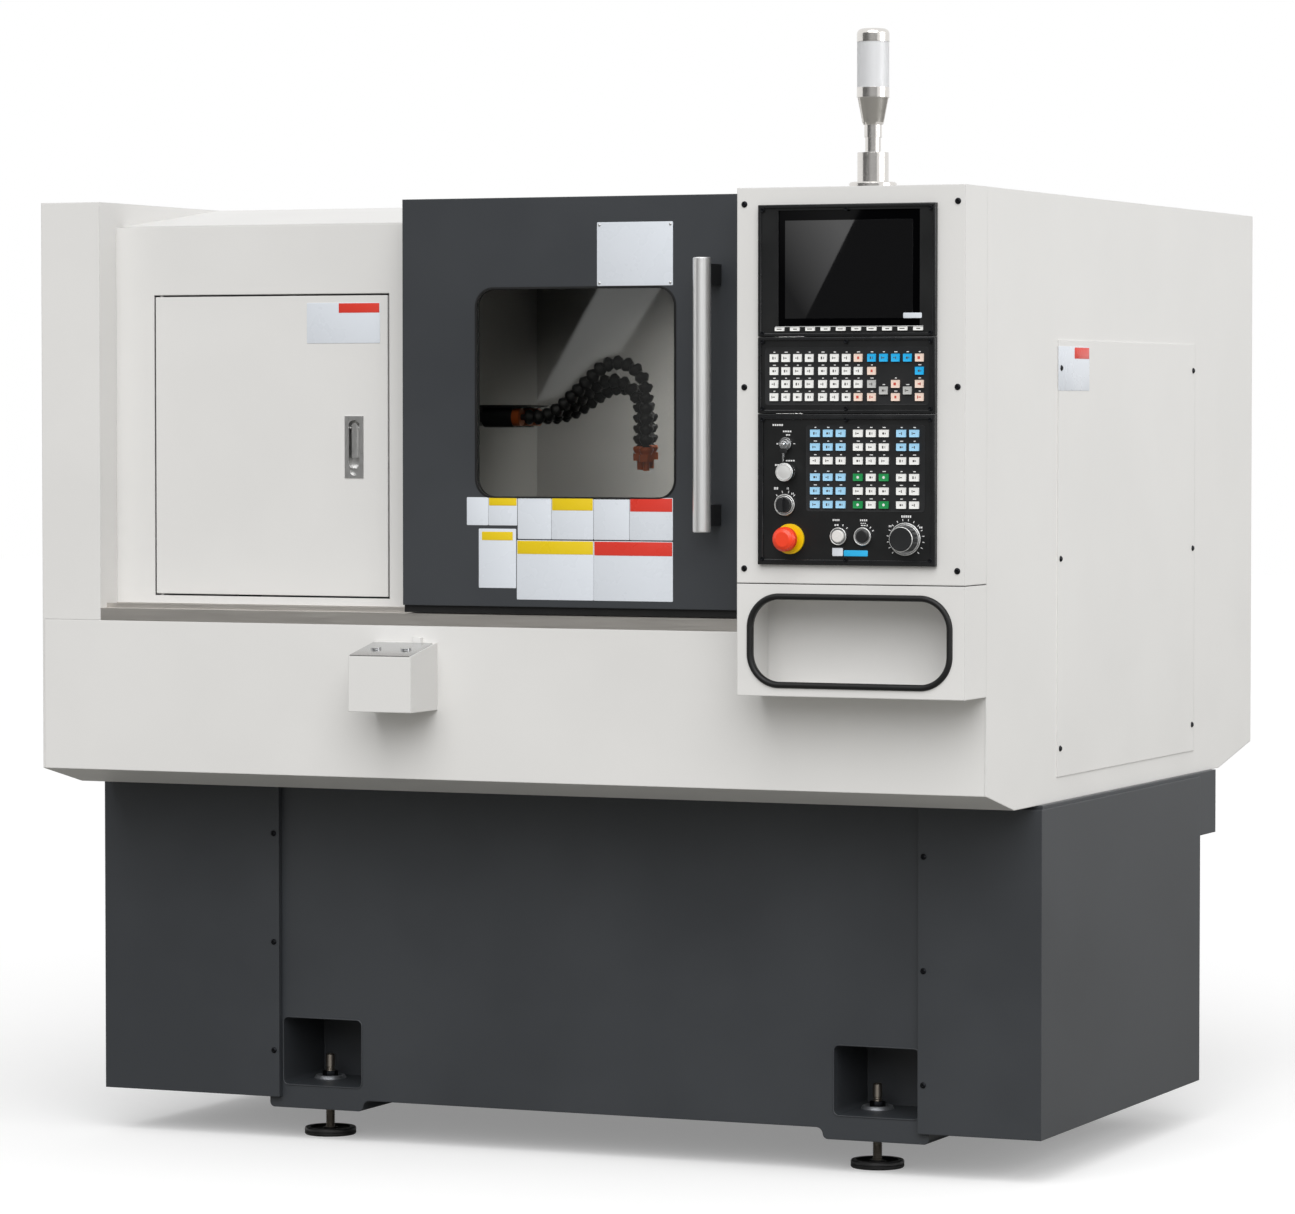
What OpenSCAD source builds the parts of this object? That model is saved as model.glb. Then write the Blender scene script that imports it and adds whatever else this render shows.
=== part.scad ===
// Compact enclosed turning lathe: sheet-metal enclosure on a welded base, with its working parts inside.
// X runs along the spindle to the right, Y to the back, Z up, in millimetres.
// Depths are measured back from the apron's front face; the origin is on the floor under the middle.

/* [Enclosure] */
// Width across the two end covers
enclosure_w = 1714; // [1650:1:1800]
// Depth from the apron's face to the rear panel
enclosure_d = 1431; // [1350:1:1550]
// Height of the roof above the floor
enclosure_top = 1620; // [1600:1:1660]
// Height where the apron's face starts
apron_bottom = 654; // [640:1:690]
// Height of the apron's upper edge
apron_top = 909; // [900:1:912]
// Height of the enclosure's underside
tray_bottom = 623; // [600:1:630]
// Depth of the bevel under the apron
bevel_d = 133; // [80:1:180]
// Width of the raised column at the left end
column_w = 113; // [90:1:125]
// Setback of the recessed front panel
recess_y = 58; // [52:1:70]
// Height of the recessed panel's upper edge
recess_top = 1578; // [1574:1:1582]
// Depth at which the sloping roof levels out
ridge_y = 433; // [300:1:600]
// Height of the rear panel's lower edge
rear_bottom = 660; // [640:1:700]
// Distance from the base's rear ledge to the chamfer under the rear panel
rear_step = 46; // [30:1:80]
// Thickness of the sheet metal
sheet_t = 3; // [2:0.5:4]

/* [Base] */
// How far the base covers stand out past the end covers
base_proud = 12; // [6:1:20]
// Setback of the base covers behind the apron
cover_y = 235; // [200:1:240]
// Step from the base covers back to the centre panel
cover_step = 12; // [8:1:16]
// Depth of the base from its covers to its back
base_d = 855; // [830:1:880]
// Height of the base's lower edge
base_bottom = 76; // [72:1:84]
// Thickness of the base's plates
base_wall = 8; // [6:1:12]
// Reach of the rear ledge behind the base
ledge_d = 100; // [60:1:120]
// Height of the rear ledge's underside
ledge_bottom = 511; // [450:1:560]
// Width of the left base cover on the front
left_cover_w = 343; // [300:1:350]
// Width of the right base cover on the front
right_cover_w = 215; // [180:1:220]

/* [Levelling feet] */
// Distance of the left feet from the left end
foot_left = 372; // [362:1:390]
// Distance of the right feet from the right end
foot_right = 317; // [305:1:330]
// Distance of the feet behind the base's centre panel
foot_set = 103; // [80:1:115]
// Radius of a foot's pad
pad_r = 45; // [35:1:55]
// Thickness of a foot's pad
pad_h = 13; // [8:1:18]
// Radius of a foot's stud
stud_r = 8; // [6:0.5:10]
// Height of a stud's upper end
stud_top = 176; // [150:1:185]
// Width of a foot pocket
pocket_w = 150; // [130:1:160]
// Height of a foot pocket's floor
pocket_floor = 98; // [92:1:105]
// Height of a foot pocket's upper edge
pocket_top = 214; // [200:1:240]
// Depth of a foot pocket
pocket_d = 155; // [145:1:180]

/* [Doors] */
// Width of the sliding door
door_w = 635; // [600:1:640]
// How far the sliding door stands out in front of the apron
door_out = 10; // [4:1:20]
// Depth of the sliding door's folded edges
door_d = 46; // [36:1:52]
// Height of the sliding door's lower edge
door_bottom = 944; // [942:1:950]
// Height of the sliding door's upper edge
door_top = 1615; // [1610:1:1620]
// Width of the window
window_w = 353; // [300:1:370]
// Height of the window
window_h = 340; // [280:1:350]
// Height of the window's lower edge
window_bottom = 1125; // [1100:1:1140]
// Distance of the window from the door's left edge
window_set = 136; // [110:1:140]
// Corner radius of the window
window_r = 29; // [15:1:40]
// Radius of the door's handle tube
handle_r = 14.5; // [12:0.5:17]
// Length of the handle tube
handle_l = 441; // [400:1:470]
// Distance of the handle tube in front of the apron
handle_out = 70; // [60:1:85]
// Width of the access door
access_w = 440; // [400:1:450]
// Distance of the access door below the recessed panel's upper edge
access_top_set = 119; // [100:1:160]
// Height of the access door's lower edge
access_bottom = 954; // [950:1:970]
// Distance of the access door from the column
access_set = 77; // [60:1:85]

/* [Control cabinet] */
// Width of the control cabinet
control_w = 386; // [380:1:400]
// How far the control cabinet stands out in front of the apron
control_out = 101; // [80:1:110]
// Height of the storage box's underside
storage_bottom = 812; // [800:1:820]
// Height of the seam between the storage box and the cabinet
cabinet_bottom = 992; // [985:1:1000]
// Width of the control panels
unit_w = 300; // [298:1:310]
// Height of the operator panel's lower edge
operator_bottom = 1022; // [1018:1:1026]
// Height of the operator panel
operator_h = 239; // [236:1:242]
// Height of the keypad panel
keypad_h = 120; // [117:1:124]
// Height of the screen unit
screen_h = 208; // [204:1:212]
// Thickness of the control panels
panel_out = 7; // [6:0.5:9]
// How far the emergency stop button stands out
stop_out = 36; // [32:1:42]

/* [Working parts] */
// Depth of the spindle axis behind the apron
spindle_y = 330; // [320:1:345]
// Height of the spindle axis
spindle_z = 1000; // [990:1:1010]
// Radius of the spindle in its bearings
spindle_r = 45; // [40:1:48]
// Radius of the bar that the collet takes
bar_r = 16; // [10:0.5:17]
// Distance from the chamber's left wall to the cabinet's left side
chamber_w = 690; // [680:1:694]
// Depth of the chamber's back wall
chamber_back = 640; // [620:1:660]
// Length of the carriage
carriage_l = 340; // [330:1:346]
// Running gap between parts that slide on each other
slide_gap = 0.3; // [0.2:0.05:0.5]
// Running gap between a shaft and its bore
shaft_gap = 0.05; // [0.02:0.01:0.1]

/* [Coolant hoses] */
// Outer radius of a hose link's cup
link_r = 12.5; // [11.5:0.25:13]
// Radius of a hose link's ball
ball_r = 8; // [7:0.25:8.25]
// Distance from link to link
link_pitch = 17.5; // [17:0.25:19]
// Distance between neighbouring hoses
hose_spacing = 36; // [34:1:42]

/* [Hidden] */
$fn = 64;
cut = 1;

// Paint and material colours
white_paint = "#E9E8E5";
grey_paint = "#3D4046";
stainless = "#A9A6A2";
bright_steel = "#B9BCC0";
black_plastic = "#1C1D1F";
black_rubber = "#151515";
cast_grey = "#6F7478";
orange_plastic = "#C4571B";

// Main places
half_w = enclosure_w / 2;
column_x = column_w - half_w;
control_x = half_w - control_w;
apron_y = (control_out + panel_out + stop_out - enclosure_d) / 2;
control_back = recess_y + sheet_t;
roof_under = enclosure_top - sheet_t;

// Base
base_x = half_w + base_proud;
core_x = base_x - sheet_t;
frame_y = cover_y + cover_step;
base_back = cover_y + base_d;
chamfer_y = base_back + ledge_d + rear_step;
cover_top_gap = 6;
foot_xs = [foot_left - half_w, half_w - foot_right];
foot_ys = [frame_y + foot_set, base_back - foot_set];
foot_plate_bottom = 57;
foot_plate_d = 190;
foot_plate_lefts = [65, 58];
foot_plate_rights = [115, 130];
foot_plate_sweep = 12;
pocket_left = 38;
pocket_corner = 9;
pad_rim = 9;
pad_dish = 3;
stud_cap_h = 24;
stud_neck_h = 3;
stud_neck_in = 1.5;
washer_r = stud_r * 3.5;
washer_h = 6;
washer_seat_h = 3;
nut_h = 13;
nut_r = stud_r * 1.73;

// Sill, door guide and sliding door
sill_t = 1.5;
sill_top = apron_top + 21;
sill_rib_y = 22;
sill_rib_w = 4;
sill_rib_h = 8;
gutter_d = 25;
gutter_h = 26;
gutter_back = control_back + gutter_d;
gutter_floor = recess_top - gutter_h + sheet_t;
door_gap = 2;
door_x1 = control_x - door_gap;
door_x0 = door_x1 - door_w;
door_back = door_d - door_out;
door_skin_back = sheet_t - door_out;
window_x0 = door_x0 + window_set;
window_x1 = window_x0 + window_w;
window_top = window_bottom + window_h;
gasket_w = 2.5;
gasket_lip = 1.2;
pane_t = 6;
hook_l = 60;
hook_y = control_back + 12;
hook_z = door_top - 25;
handle_x = door_x1 - 72;
handle_z0 = 1071;
bracket_w = 18;
bracket_h = 34;
bracket_set = 10;
door_open_x0 = door_x0 + 36;
door_open_x1 = control_x - 31;
door_open_z0 = 965;
door_open_z1 = recess_top - 48;

// Access door, its pivots and its latch
access_x0 = column_x + access_set;
access_x1 = access_x0 + access_w;
access_top = recess_top - access_top_set;
access_gap = 3;
access_d = 20;
pivot_set = 8;
pivot_r = 3;
pivot_l = 12;
pivot_plate_t = 4;
latch_w = 35;
latch_h = 104;
latch_x = access_x1 - 62.5;
latch_z = (access_bottom + access_top) / 2 - 1.5;
latch_rim = 1.5;
latch_body_inset = 4;
latch_body_d = 16;
latch_thumb_set = 4.5;
latch_thumb_rise = 2;
latch_thumb_d = 4;
lever_w = 15;
lever_l = 50;
lever_t = 8;
lever_pivot_z = latch_z + 32;

// Side access panel
side_front_set = 341;
side_back_set = 350;
side_bottom_set = 9;
side_top_set = 238;
side_y0 = side_front_set;
side_y1 = enclosure_d - side_back_set;
side_z0 = apron_bottom + side_bottom_set;
side_z1 = enclosure_top - side_top_set;
side_t = 2;
side_lap = 20;

// Service box on the apron
service_set = 694;
service_x0 = control_x - service_set;
service_w = 115;
service_out = 100;
service_bottom = 770;
service_front_h = 92;
service_back_h = 112;
service_tilt = atan((service_back_h - service_front_h) / service_out);
service_plate_t = 2;

// Control panels
unit_x0 = control_x + 39.5;
unit_x1 = unit_x0 + unit_w;
unit_gap = 1.5;
keypad_bottom = operator_bottom + operator_h + unit_gap;
screen_bottom = keypad_bottom + keypad_h + unit_gap;
panel_face = -control_out - panel_out;
panel_ridge = 1.5;
panel_rim = 5;
unit_lap = 10;
key_h = 3.5;
glass_x0 = unit_x0 + 34;
glass_w = 239;
glass_z0 = screen_bottom + 16;
glass_h = 183;
glass_t = 3;
glass_set = 2.5;
glass_gap = 0.2;

// Operator controls: place on the panel, stem radius, bezel radius and bezel height
stop_at = [unit_x0 + 55, operator_bottom + 41];
key_at = [unit_x0 + 48, operator_bottom + 192];
silver_at = [unit_x0 + 50.5, operator_bottom + 147];
selector_at = [unit_x0 + 46.5, operator_bottom + 95];
white_at = [unit_x0 + 138, operator_bottom + 46];
black_at = [unit_x0 + 179, operator_bottom + 46];
knob_at = [unit_x0 + 250, operator_bottom + 42.5];
stop_stem_r = 11;
stop_collar_r = 24;
stop_collar_h = 4;
stop_head_r = 19.5;
controls = [
    [key_at, 6.8, 10, 5],
    [silver_at, 10, 13, 3],
    [selector_at, 9.8, 17, 4],
    [white_at, 9.8, 14, 5],
    [black_at, 9.8, 14.5, 5],
    [knob_at, 5, 26, 3]
];
stem_in = 6;
control_gap = 0.2;

// Storage box and its edge trim
storage_gap = 1.5;
storage_top = cabinet_bottom - storage_gap;
storage_wall = 14;
storage_floor = 8;
trim_x0 = control_x + 17;
trim_x1 = half_w - 20;
trim_z0 = storage_bottom + 13;
trim_z1 = storage_top - 14.5;
trim_corner = 55;
trim_r = 5;
trim_lap = 5;
trim_out = 5;
trim_gap = 0.1;

// Signal lamp
lamp_x = control_x + 208;
lamp_y = -41;

// Chamber, bed and headstock
chamber_x0 = control_x - chamber_w;
chamber_x1 = control_x + 49;
chamber_top = recess_top - 11;
chamber_back_bottom = spindle_z + 50;
chute_top = sill_top + 5;
chute_y = 200;
chute_drop = 17;
headstock_l = 300;
headstock_x1 = chamber_x0 - 25;
headstock_x0 = headstock_x1 - headstock_l;
headstock_half = 120;
headstock_top = spindle_z + 105;
chuck_hole_r = 80;
bar_hole_r = bar_r + 14;
bed_x0 = headstock_x0 - 20;
bed_x1 = chamber_x1 + 10;
bed_y0 = frame_y + 15;
bed_y1 = 1000;
bed_top = tray_bottom + 117;
way_w = 60;
way_h = 30;
way_top = bed_top + way_h;
way_ys = [420, 860];
liner_gap = 5;

// Carriage, tool table and their screws
carriage_x0 = chamber_x0 + 235;
carriage_x1 = carriage_x0 + carriage_l;
carriage_y0 = way_ys[0] - 20;
carriage_y1 = way_ys[1] + way_w + 20;
carriage_h = 80;
carriage_bottom = way_top + slide_gap;
carriage_top = carriage_bottom + carriage_h;
cross_way_w = 50;
cross_way_h = 25;
cross_way_set = 30;
cross_way_top = carriage_top + cross_way_h;
lip_w = 20;
table_x0 = carriage_x0 + cross_way_set - lip_w;
table_x1 = carriage_x1 - cross_way_set + lip_w;
table_y0 = 230;
table_l = 530;
table_t = 40;
table_bottom = cross_way_top + slide_gap;
table_top = table_bottom + table_t;
z_screw_r = 12.5;
z_screw_y = 670;
z_screw_z = bed_top - 25;
z_trough_w = 120;
z_trough_d = 50;
z_trough_x0 = chamber_x0 + 55;
z_trough_x1 = bed_x1 - 30;
z_nut_l = 100;
z_nut_w = 60;
x_screw_r = 10;
x_screw_x = (carriage_x0 + carriage_x1) / 2;
x_screw_z = carriage_top - 15;
x_trough_w = 60;
x_trough_d = 30;
x_end_wall = 25;
x_nut_w = 50;
x_nut_l = 60;
x_nut_set = 310;
x_nut_y = table_y0 + x_nut_set;
servo_shaft_in = 10;
z_servo_w = 130;
z_servo_l = 150;
x_servo_w = 110;
x_servo_l = 140;
holder_count = 4;
holder_pitch = 95;
holder_first = spindle_y + 65;
holder_w = 60;
holder_l = 100;
tool_w = 20;
tool_reach = 35;

// Spindle drive
nose_r = 70;
nose_l = 18;
chuck_l = 82;
chuck_r = 62;
pulley_w = 55;
pulley_gap = 25;
spindle_pulley_r = 75;
motor_pulley_r = 50;
closer_r = 58;
closer_l = 95;
motor_back = 310;
motor_up = 135;
motor_y = spindle_y + motor_back;
motor_z = way_top + motor_up;
motor_r = 95;
motor_shaft_r = 14;
motor_shaft_in = 50;
belt_t = 6;
belt_gap = 0.3;
belt_steps = 40;
pulley_x1 = headstock_x0 - pulley_gap;
pulley_x0 = pulley_x1 - pulley_w;
motor_x0 = headstock_x0 + 10;
motor_x1 = headstock_x1 - 20;

// Coolant manifold and hoses: offset, turn for each rising link, rising links, held links,
// turn for each falling link and straight links
ball_gap = 0.15;
neck_r = 5;
cup_mouth = 3.4;
mouth_in = 1.6;
shoulder_h = 2;
cup_wall = 2;
hose_bore_r = 3;
valve_r = 17.5;
valve_l = 54;
valve_x1 = chamber_x0 + 163;
valve_z = spindle_z + 255;
hose_y = 230;
ring_l = 13;
ring_r = 15;
hose_x0 = valve_x1 + ring_l + 13;
hoses = [[-1, 12, 4, 5, 19, 4], [0, 11, 4, 3, 19, 2], [1, 9, 4, 3, 18, 2]];

// Heading of a link above the horizontal, the number of links in a hose and where a link's socket lies
function hose_peak(h) = h[1] * h[2];
function falling_links(h) = ceil((hose_peak(h) + 90) / h[4]);
function link_count(h) = h[2] + h[3] + falling_links(h) + h[5];
function heading(h, i) =
    i < h[2] ? i * h[1] :
    i < h[2] + h[3] ? hose_peak(h) - h[1] / 2 :
    max(-90, hose_peak(h) - (i - h[2] - h[3] + 1) * h[4]);
function link_at(h, i) =
    i == 0 ? [hose_x0, hose_y + h[0] * hose_spacing, valve_z] :
    link_at(h, i - 1) + link_pitch * [cos(heading(h, i - 1)), 0, sin(heading(h, i - 1))];

// Outline of an end cover, in depth and height
function end_outline() = [
    [0, enclosure_top], [enclosure_d, enclosure_top], [enclosure_d, rear_bottom],
    [chamfer_y, tray_bottom], [bevel_d, tray_bottom], [0, apron_bottom]
];
// Height of the sloping roof at a depth
function roof_at(y) = recess_top + (y - recess_y) * (enclosure_top - recess_top) / (ridge_y - recess_y);
gutter_top = roof_at(gutter_back - sheet_t) - sheet_t;

// Puts what is drawn from the apron's face into the part's own frame
module from_apron() translate([0, apron_y, 0]) children();

// A box given by its limits
module slab(x0, x1, y0, y1, z0, z1) translate([x0, y0, z0]) cube([x1 - x0, y1 - y0, z1 - z0]);

// A flat shape drawn in X and Z, given its depth range
module front_plate(y0, y1) translate([0, y1, 0]) rotate([90, 0, 0]) linear_extrude(y1 - y0) children();

// A flat shape drawn in Y and Z, given its width range
module side_plate(x0, x1) translate([x0, 0, 0]) rotate([90, 0, 90]) linear_extrude(x1 - x0) children();

// A round bar along X or Y between two limits
module bar_x(x0, x1, y, z, r) translate([x0, y, z]) rotate([0, 90, 0]) cylinder(h = x1 - x0, r = r);
module bar_y(y0, y1, x, z, r) translate([x, y1, z]) rotate([90, 0, 0]) cylinder(h = y1 - y0, r = r);

// A rectangle with round corners, given by its limits
module rounded(x0, x1, z0, z1, r) {
    translate([x0 + r, z0]) square([x1 - x0 - 2 * r, z1 - z0]);
    translate([x0, z0 + r]) square([x1 - x0, z1 - z0 - 2 * r]);
    for (x = [x0 + r, x1 - r], z = [z0 + r, z1 - r]) translate([x, z]) circle(r);
}
module rectangle(x0, x1, z0, z1) translate([x0, z0]) square([x1 - x0, z1 - z0]);

// Base

module foot_pocket_outline(x)
    rounded(x - pocket_left, x - pocket_left + pocket_w, pocket_floor, pocket_top, pocket_corner);

// Foot plate, which sweeps into the base's lower edge on the side towards the machine's middle
module foot_plate_outline(i) {
    x0 = foot_xs[i] - foot_plate_lefts[i];
    x1 = foot_xs[i] + foot_plate_rights[i];
    inner = i == 0 ? x1 : x0;
    swept = i == 0 ? x1 + foot_plate_sweep : x0 - foot_plate_sweep;
    rounded(x0, x1, foot_plate_bottom, pocket_floor, pocket_corner);
    difference() {
        rectangle(min(inner, swept), max(inner, swept), base_bottom - foot_plate_sweep, pocket_floor);
        translate([swept, base_bottom - foot_plate_sweep]) circle(r = foot_plate_sweep);
    }
}

module foot_pocket_walls(x) {
    x0 = x - pocket_left - base_wall;
    x1 = x - pocket_left + pocket_w + base_wall;
    deep = pocket_d + base_wall;
    slab(x0, x1, frame_y, frame_y + deep, base_bottom, pocket_top + base_wall);
    slab(x0, x1, base_back - deep, base_back, base_bottom, pocket_top + base_wall);
}

module base_hollow() difference() {
    slab(
        base_wall - core_x, core_x - base_wall, frame_y + base_wall, base_back - base_wall,
        base_bottom + base_wall, tray_bottom - base_wall
    );
    for (x = foot_xs) foot_pocket_walls(x);
}

module base_frame() color(grey_paint) from_apron() difference() {
    union() {
        slab(-core_x, core_x, frame_y, base_back, base_bottom, tray_bottom);
        slab(-core_x, core_x, base_back, base_back + ledge_d, ledge_bottom, tray_bottom);
        for (i = [0 : 1]) {
            front_plate(frame_y, frame_y + foot_plate_d) foot_plate_outline(i);
            front_plate(base_back - foot_plate_d, base_back) foot_plate_outline(i);
        }
    }
    base_hollow();
    for (x = foot_xs) {
        front_plate(frame_y - cut, frame_y + pocket_d) foot_pocket_outline(x);
        front_plate(base_back - pocket_d, base_back + cut) foot_pocket_outline(x);
        for (y = foot_ys) translate([x, y, 0]) cylinder(h = pocket_top, r = stud_r + slide_gap);
    }
}

// One base cover: a folded sheet with a front, a side and a short edge against the centre panel
module base_cover(front_w) {
    cover_top = tray_bottom - cover_top_gap;
    slab(base_x - front_w, base_x, cover_y, cover_y + sheet_t, base_bottom, cover_top);
    slab(core_x, base_x, cover_y, base_back, base_bottom, cover_top);
    slab(base_x - front_w, base_x - front_w + sheet_t, cover_y, frame_y, base_bottom, cover_top);
}

module base_side_covers() color(grey_paint) from_apron() {
    base_cover(right_cover_w);
    mirror([1, 0, 0]) base_cover(left_cover_w);
}

module levelling_foot() {
    edge = 2;
    cap_r = stud_r - stud_neck_in / 2;
    neck_top = stud_top - stud_cap_h;
    rotate_extrude() polygon([
        [0, 0], [pad_r - edge, 0], [pad_r, edge], [pad_r, pad_h - edge], [pad_r - edge, pad_h],
        [pad_r - pad_rim, pad_h], [pad_r - pad_rim - pad_dish, pad_h - pad_dish], [stud_r, pad_h - pad_dish],
        [stud_r, neck_top - stud_neck_h], [stud_r - stud_neck_in, neck_top - stud_neck_h],
        [stud_r - stud_neck_in, neck_top], [cap_r, neck_top], [cap_r, stud_top - edge],
        [cap_r - edge, stud_top], [0, stud_top]
    ]);
    translate([0, 0, pocket_floor]) difference() {
        union() {
            foot_washer();
            cylinder(h = washer_seat_h + nut_h, r = nut_r, $fn = 6);
        }
        translate([0, 0, -cut]) cylinder(h = washer_seat_h + nut_h + 2 * cut, r = stud_r + shaft_gap);
    }
}

// Dished washer with a raised rim
module foot_washer() {
    foot_h = 1.5;
    rim = 3;
    rise = washer_h - washer_seat_h;
    rotate_extrude() polygon([
        [0, 0], [washer_r, 0], [washer_r, foot_h], [washer_r - rim, washer_h], [washer_r - 2 * rim, washer_h],
        [washer_r - 2 * rim - rise, washer_seat_h], [0, washer_seat_h]
    ]);
}

module levelling_feet() color(black_plastic) from_apron()
    for (x = foot_xs, y = foot_ys) translate([x, y, 0]) levelling_foot();

// Button-head screw that stands on the plane Z = 0
module button_screw() {
    head_r = 5;
    head_h = 3;
    difference() {
        rotate_extrude()
            polygon([[0, 0], [head_r, 0], [head_r, head_h / 3], [head_r * 0.6, head_h], [0, head_h]]);
        translate([0, 0, head_h / 2]) cylinder(h = head_h, r = head_r * 0.4, $fn = 6);
    }
}

module cover_screws() color(black_plastic) from_apron() {
    base_inset = 10;
    base_top_inset = 89;
    base_bottom_inset = 81;
    base_z0 = base_bottom + base_bottom_inset;
    base_z1 = tray_bottom - base_top_inset;
    for (x = [left_cover_w - base_x - base_inset, base_x - right_cover_w + base_inset])
        for (z = [base_z0, (base_z0 + base_z1) / 2, base_z1])
            translate([x, cover_y, z]) rotate([90, 0, 0]) button_screw();
    side_inset = 12;
    side_zs = [side_z0 + 47, (side_z0 + side_z1) / 2, side_z1 - 46];
    for (y = [side_y0 + side_inset, side_y1 - side_inset], z = side_zs)
        translate([half_w + side_t, y, z]) rotate([0, 90, 0]) button_screw();
    front_inset = 12.5;
    front_zs = [cabinet_bottom + 23, keypad_bottom + 41, enclosure_top - 26];
    for (x = [control_x + front_inset, half_w - front_inset], z = front_zs)
        translate([x, -control_out, z]) rotate([90, 0, 0]) button_screw();
}

// Enclosure

module lower_apron() color(white_paint) from_apron() side_plate(sheet_t - half_w, half_w - sheet_t) polygon([
    [0, apron_top], [0, apron_bottom], [bevel_d, tray_bottom], [bed_y0 - liner_gap, tray_bottom],
    [bed_y0 - liner_gap, tray_bottom + sheet_t], [bevel_d, tray_bottom + sheet_t],
    [sheet_t, apron_bottom + sheet_t], [sheet_t, apron_top]
]);

// End cover with the front column and the hole where bar stock is fed in
module left_end_cover() color(white_paint) from_apron() difference() {
    union() {
        side_plate(-half_w, sheet_t - half_w) polygon(end_outline());
        slab(-half_w, column_x, 0, sheet_t, apron_top, enclosure_top);
        slab(column_x - sheet_t, column_x, 0, ridge_y, apron_top, enclosure_top);
        slab(-half_w, column_x, 0, enclosure_d, roof_under, enclosure_top);
    }
    bar_x(-half_w - cut, column_x + cut, spindle_y, spindle_z, bar_hole_r);
}

module right_end_cover() color(white_paint) from_apron() side_plate(half_w - sheet_t, half_w) difference() {
    polygon(end_outline());
    rectangle(side_y0 + side_lap, side_y1 - side_lap, side_z0 + side_lap, side_z1 - side_lap);
}

module side_access_panel() color(white_paint) from_apron()
    slab(half_w, half_w + side_t, side_y0, side_y1, side_z0, side_z1);

// Bracket behind the front panel that holds one of the access door's pivots
module pivot_bracket(z) {
    x = access_x0 + pivot_set;
    y = recess_y + pivot_set;
    reach = 12;
    difference() {
        slab(access_x0 - 2 * reach, x + reach, control_back, y + reach, z, z + pivot_plate_t);
        translate([x, y, z - cut]) cylinder(h = pivot_plate_t + 2 * cut, r = pivot_r + shaft_gap);
    }
    slab(access_x0 - 2 * reach, access_x0 - access_gap, recess_y, control_back, z, z + pivot_plate_t);
}

module front_panel() color(white_paint) from_apron() {
    front_plate(recess_y, control_back) difference() {
        rectangle(column_x, control_x, sill_top, recess_top);
        rectangle(
            access_x0 - access_gap, access_x1 + access_gap,
            access_bottom - access_gap, access_top + access_gap
        );
        rectangle(door_open_x0, door_open_x1, door_open_z0, door_open_z1);
    }
    pivot_bracket(access_top + access_gap);
    pivot_bracket(access_bottom - access_gap - pivot_plate_t);
}

module roof_panel() color(white_paint) from_apron() {
    front = gutter_back - sheet_t;
    side_plate(column_x, control_x) polygon([
        [front, roof_at(front)], [ridge_y, enclosure_top], [enclosure_d, enclosure_top],
        [enclosure_d, roof_under], [ridge_y, roof_under], [front, roof_at(front) - sheet_t]
    ]);
    slab(control_x, half_w - sheet_t, control_back, enclosure_d, roof_under, enclosure_top);
    side_plate(control_x, control_x + sheet_t) polygon([
        [control_back, gutter_floor - sheet_t], [gutter_back, gutter_floor - sheet_t],
        [gutter_back, chamber_top + 2 * slide_gap + sheet_t],
        [ridge_y, roof_under - sheet_t], [ridge_y, roof_under], [control_back, roof_under]
    ]);
}

module rear_panel() color(white_paint) from_apron() difference() {
    side_plate(sheet_t - half_w, half_w - sheet_t) polygon([
        [enclosure_d, roof_under], [enclosure_d, rear_bottom], [chamfer_y, tray_bottom],
        [base_back + ledge_d / 2, tray_bottom], [base_back + ledge_d / 2, tray_bottom + sheet_t],
        [chamfer_y, tray_bottom + sheet_t], [enclosure_d - sheet_t, rear_bottom + sheet_t],
        [enclosure_d - sheet_t, roof_under]
    ]);
    louvre_w = 180;
    louvre_h = 8;
    louvre_pitch = 24;
    louvre_set = 380;
    for (x = [-louvre_set, louvre_set], i = [0 : 7]) {
        z = enclosure_top - 300 - i * louvre_pitch;
        slab(x - louvre_w / 2, x + louvre_w / 2, chamfer_y, enclosure_d + cut, z, z + louvre_h);
    }
}

// Stainless sill with the lower guide rib, and the gutter behind the front panel for the door's hooks
module door_rails() color(stainless) from_apron() {
    difference() {
        slab(column_x, control_x, 0, recess_y, apron_top, sill_top);
        slab(column_x - cut, control_x + cut, sill_t, recess_y + cut, apron_top - cut, sill_top - sill_t);
    }
    slab(column_x, control_x, sill_rib_y, sill_rib_y + sill_rib_w, sill_top - sill_t, sill_top + sill_rib_h);
    slab(column_x, control_x, recess_y - sill_t, recess_y, sill_top - sill_t, sill_top + sill_rib_h);
    difference() {
        slab(column_x, control_x, control_back, gutter_back, recess_top - gutter_h, gutter_top);
        slab(
            column_x - cut, control_x + cut, control_back + sheet_t, gutter_back - sheet_t,
            gutter_floor, recess_top + cut
        );
    }
}

module service_box() color(white_paint) from_apron() {
    side_plate(service_x0, service_x0 + service_w) polygon([
        [0, service_bottom], [-service_out, service_bottom], [-service_out, service_bottom + service_front_h],
        [0, service_bottom + service_back_h]
    ]);
    tab_w = 16;
    tab_d = 8;
    tab_x = service_x0 + service_w - 42;
    slab(tab_x, tab_x + tab_w, -tab_d, 0, service_bottom, service_bottom + service_back_h + tab_d);
}

module service_plate() color(bright_steel) from_apron() {
    edge = 3;
    plug_r = 9;
    plug_h = 3;
    plug_set = 30;
    tab_clear = 12;
    plate_l = service_out / cos(service_tilt) - tab_clear;
    front_edge = [service_x0 + edge, -service_out, service_bottom + service_front_h];
    translate(front_edge) rotate([service_tilt, 0, 0]) {
        cube([service_w - 2 * edge, plate_l, service_plate_t]);
        for (x = [plug_set - edge, service_w - plug_set - edge])
            translate([x, plate_l / 2, 0]) cylinder(h = service_plate_t + plug_h, r = plug_r);
    }
}

// Control cabinet

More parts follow.
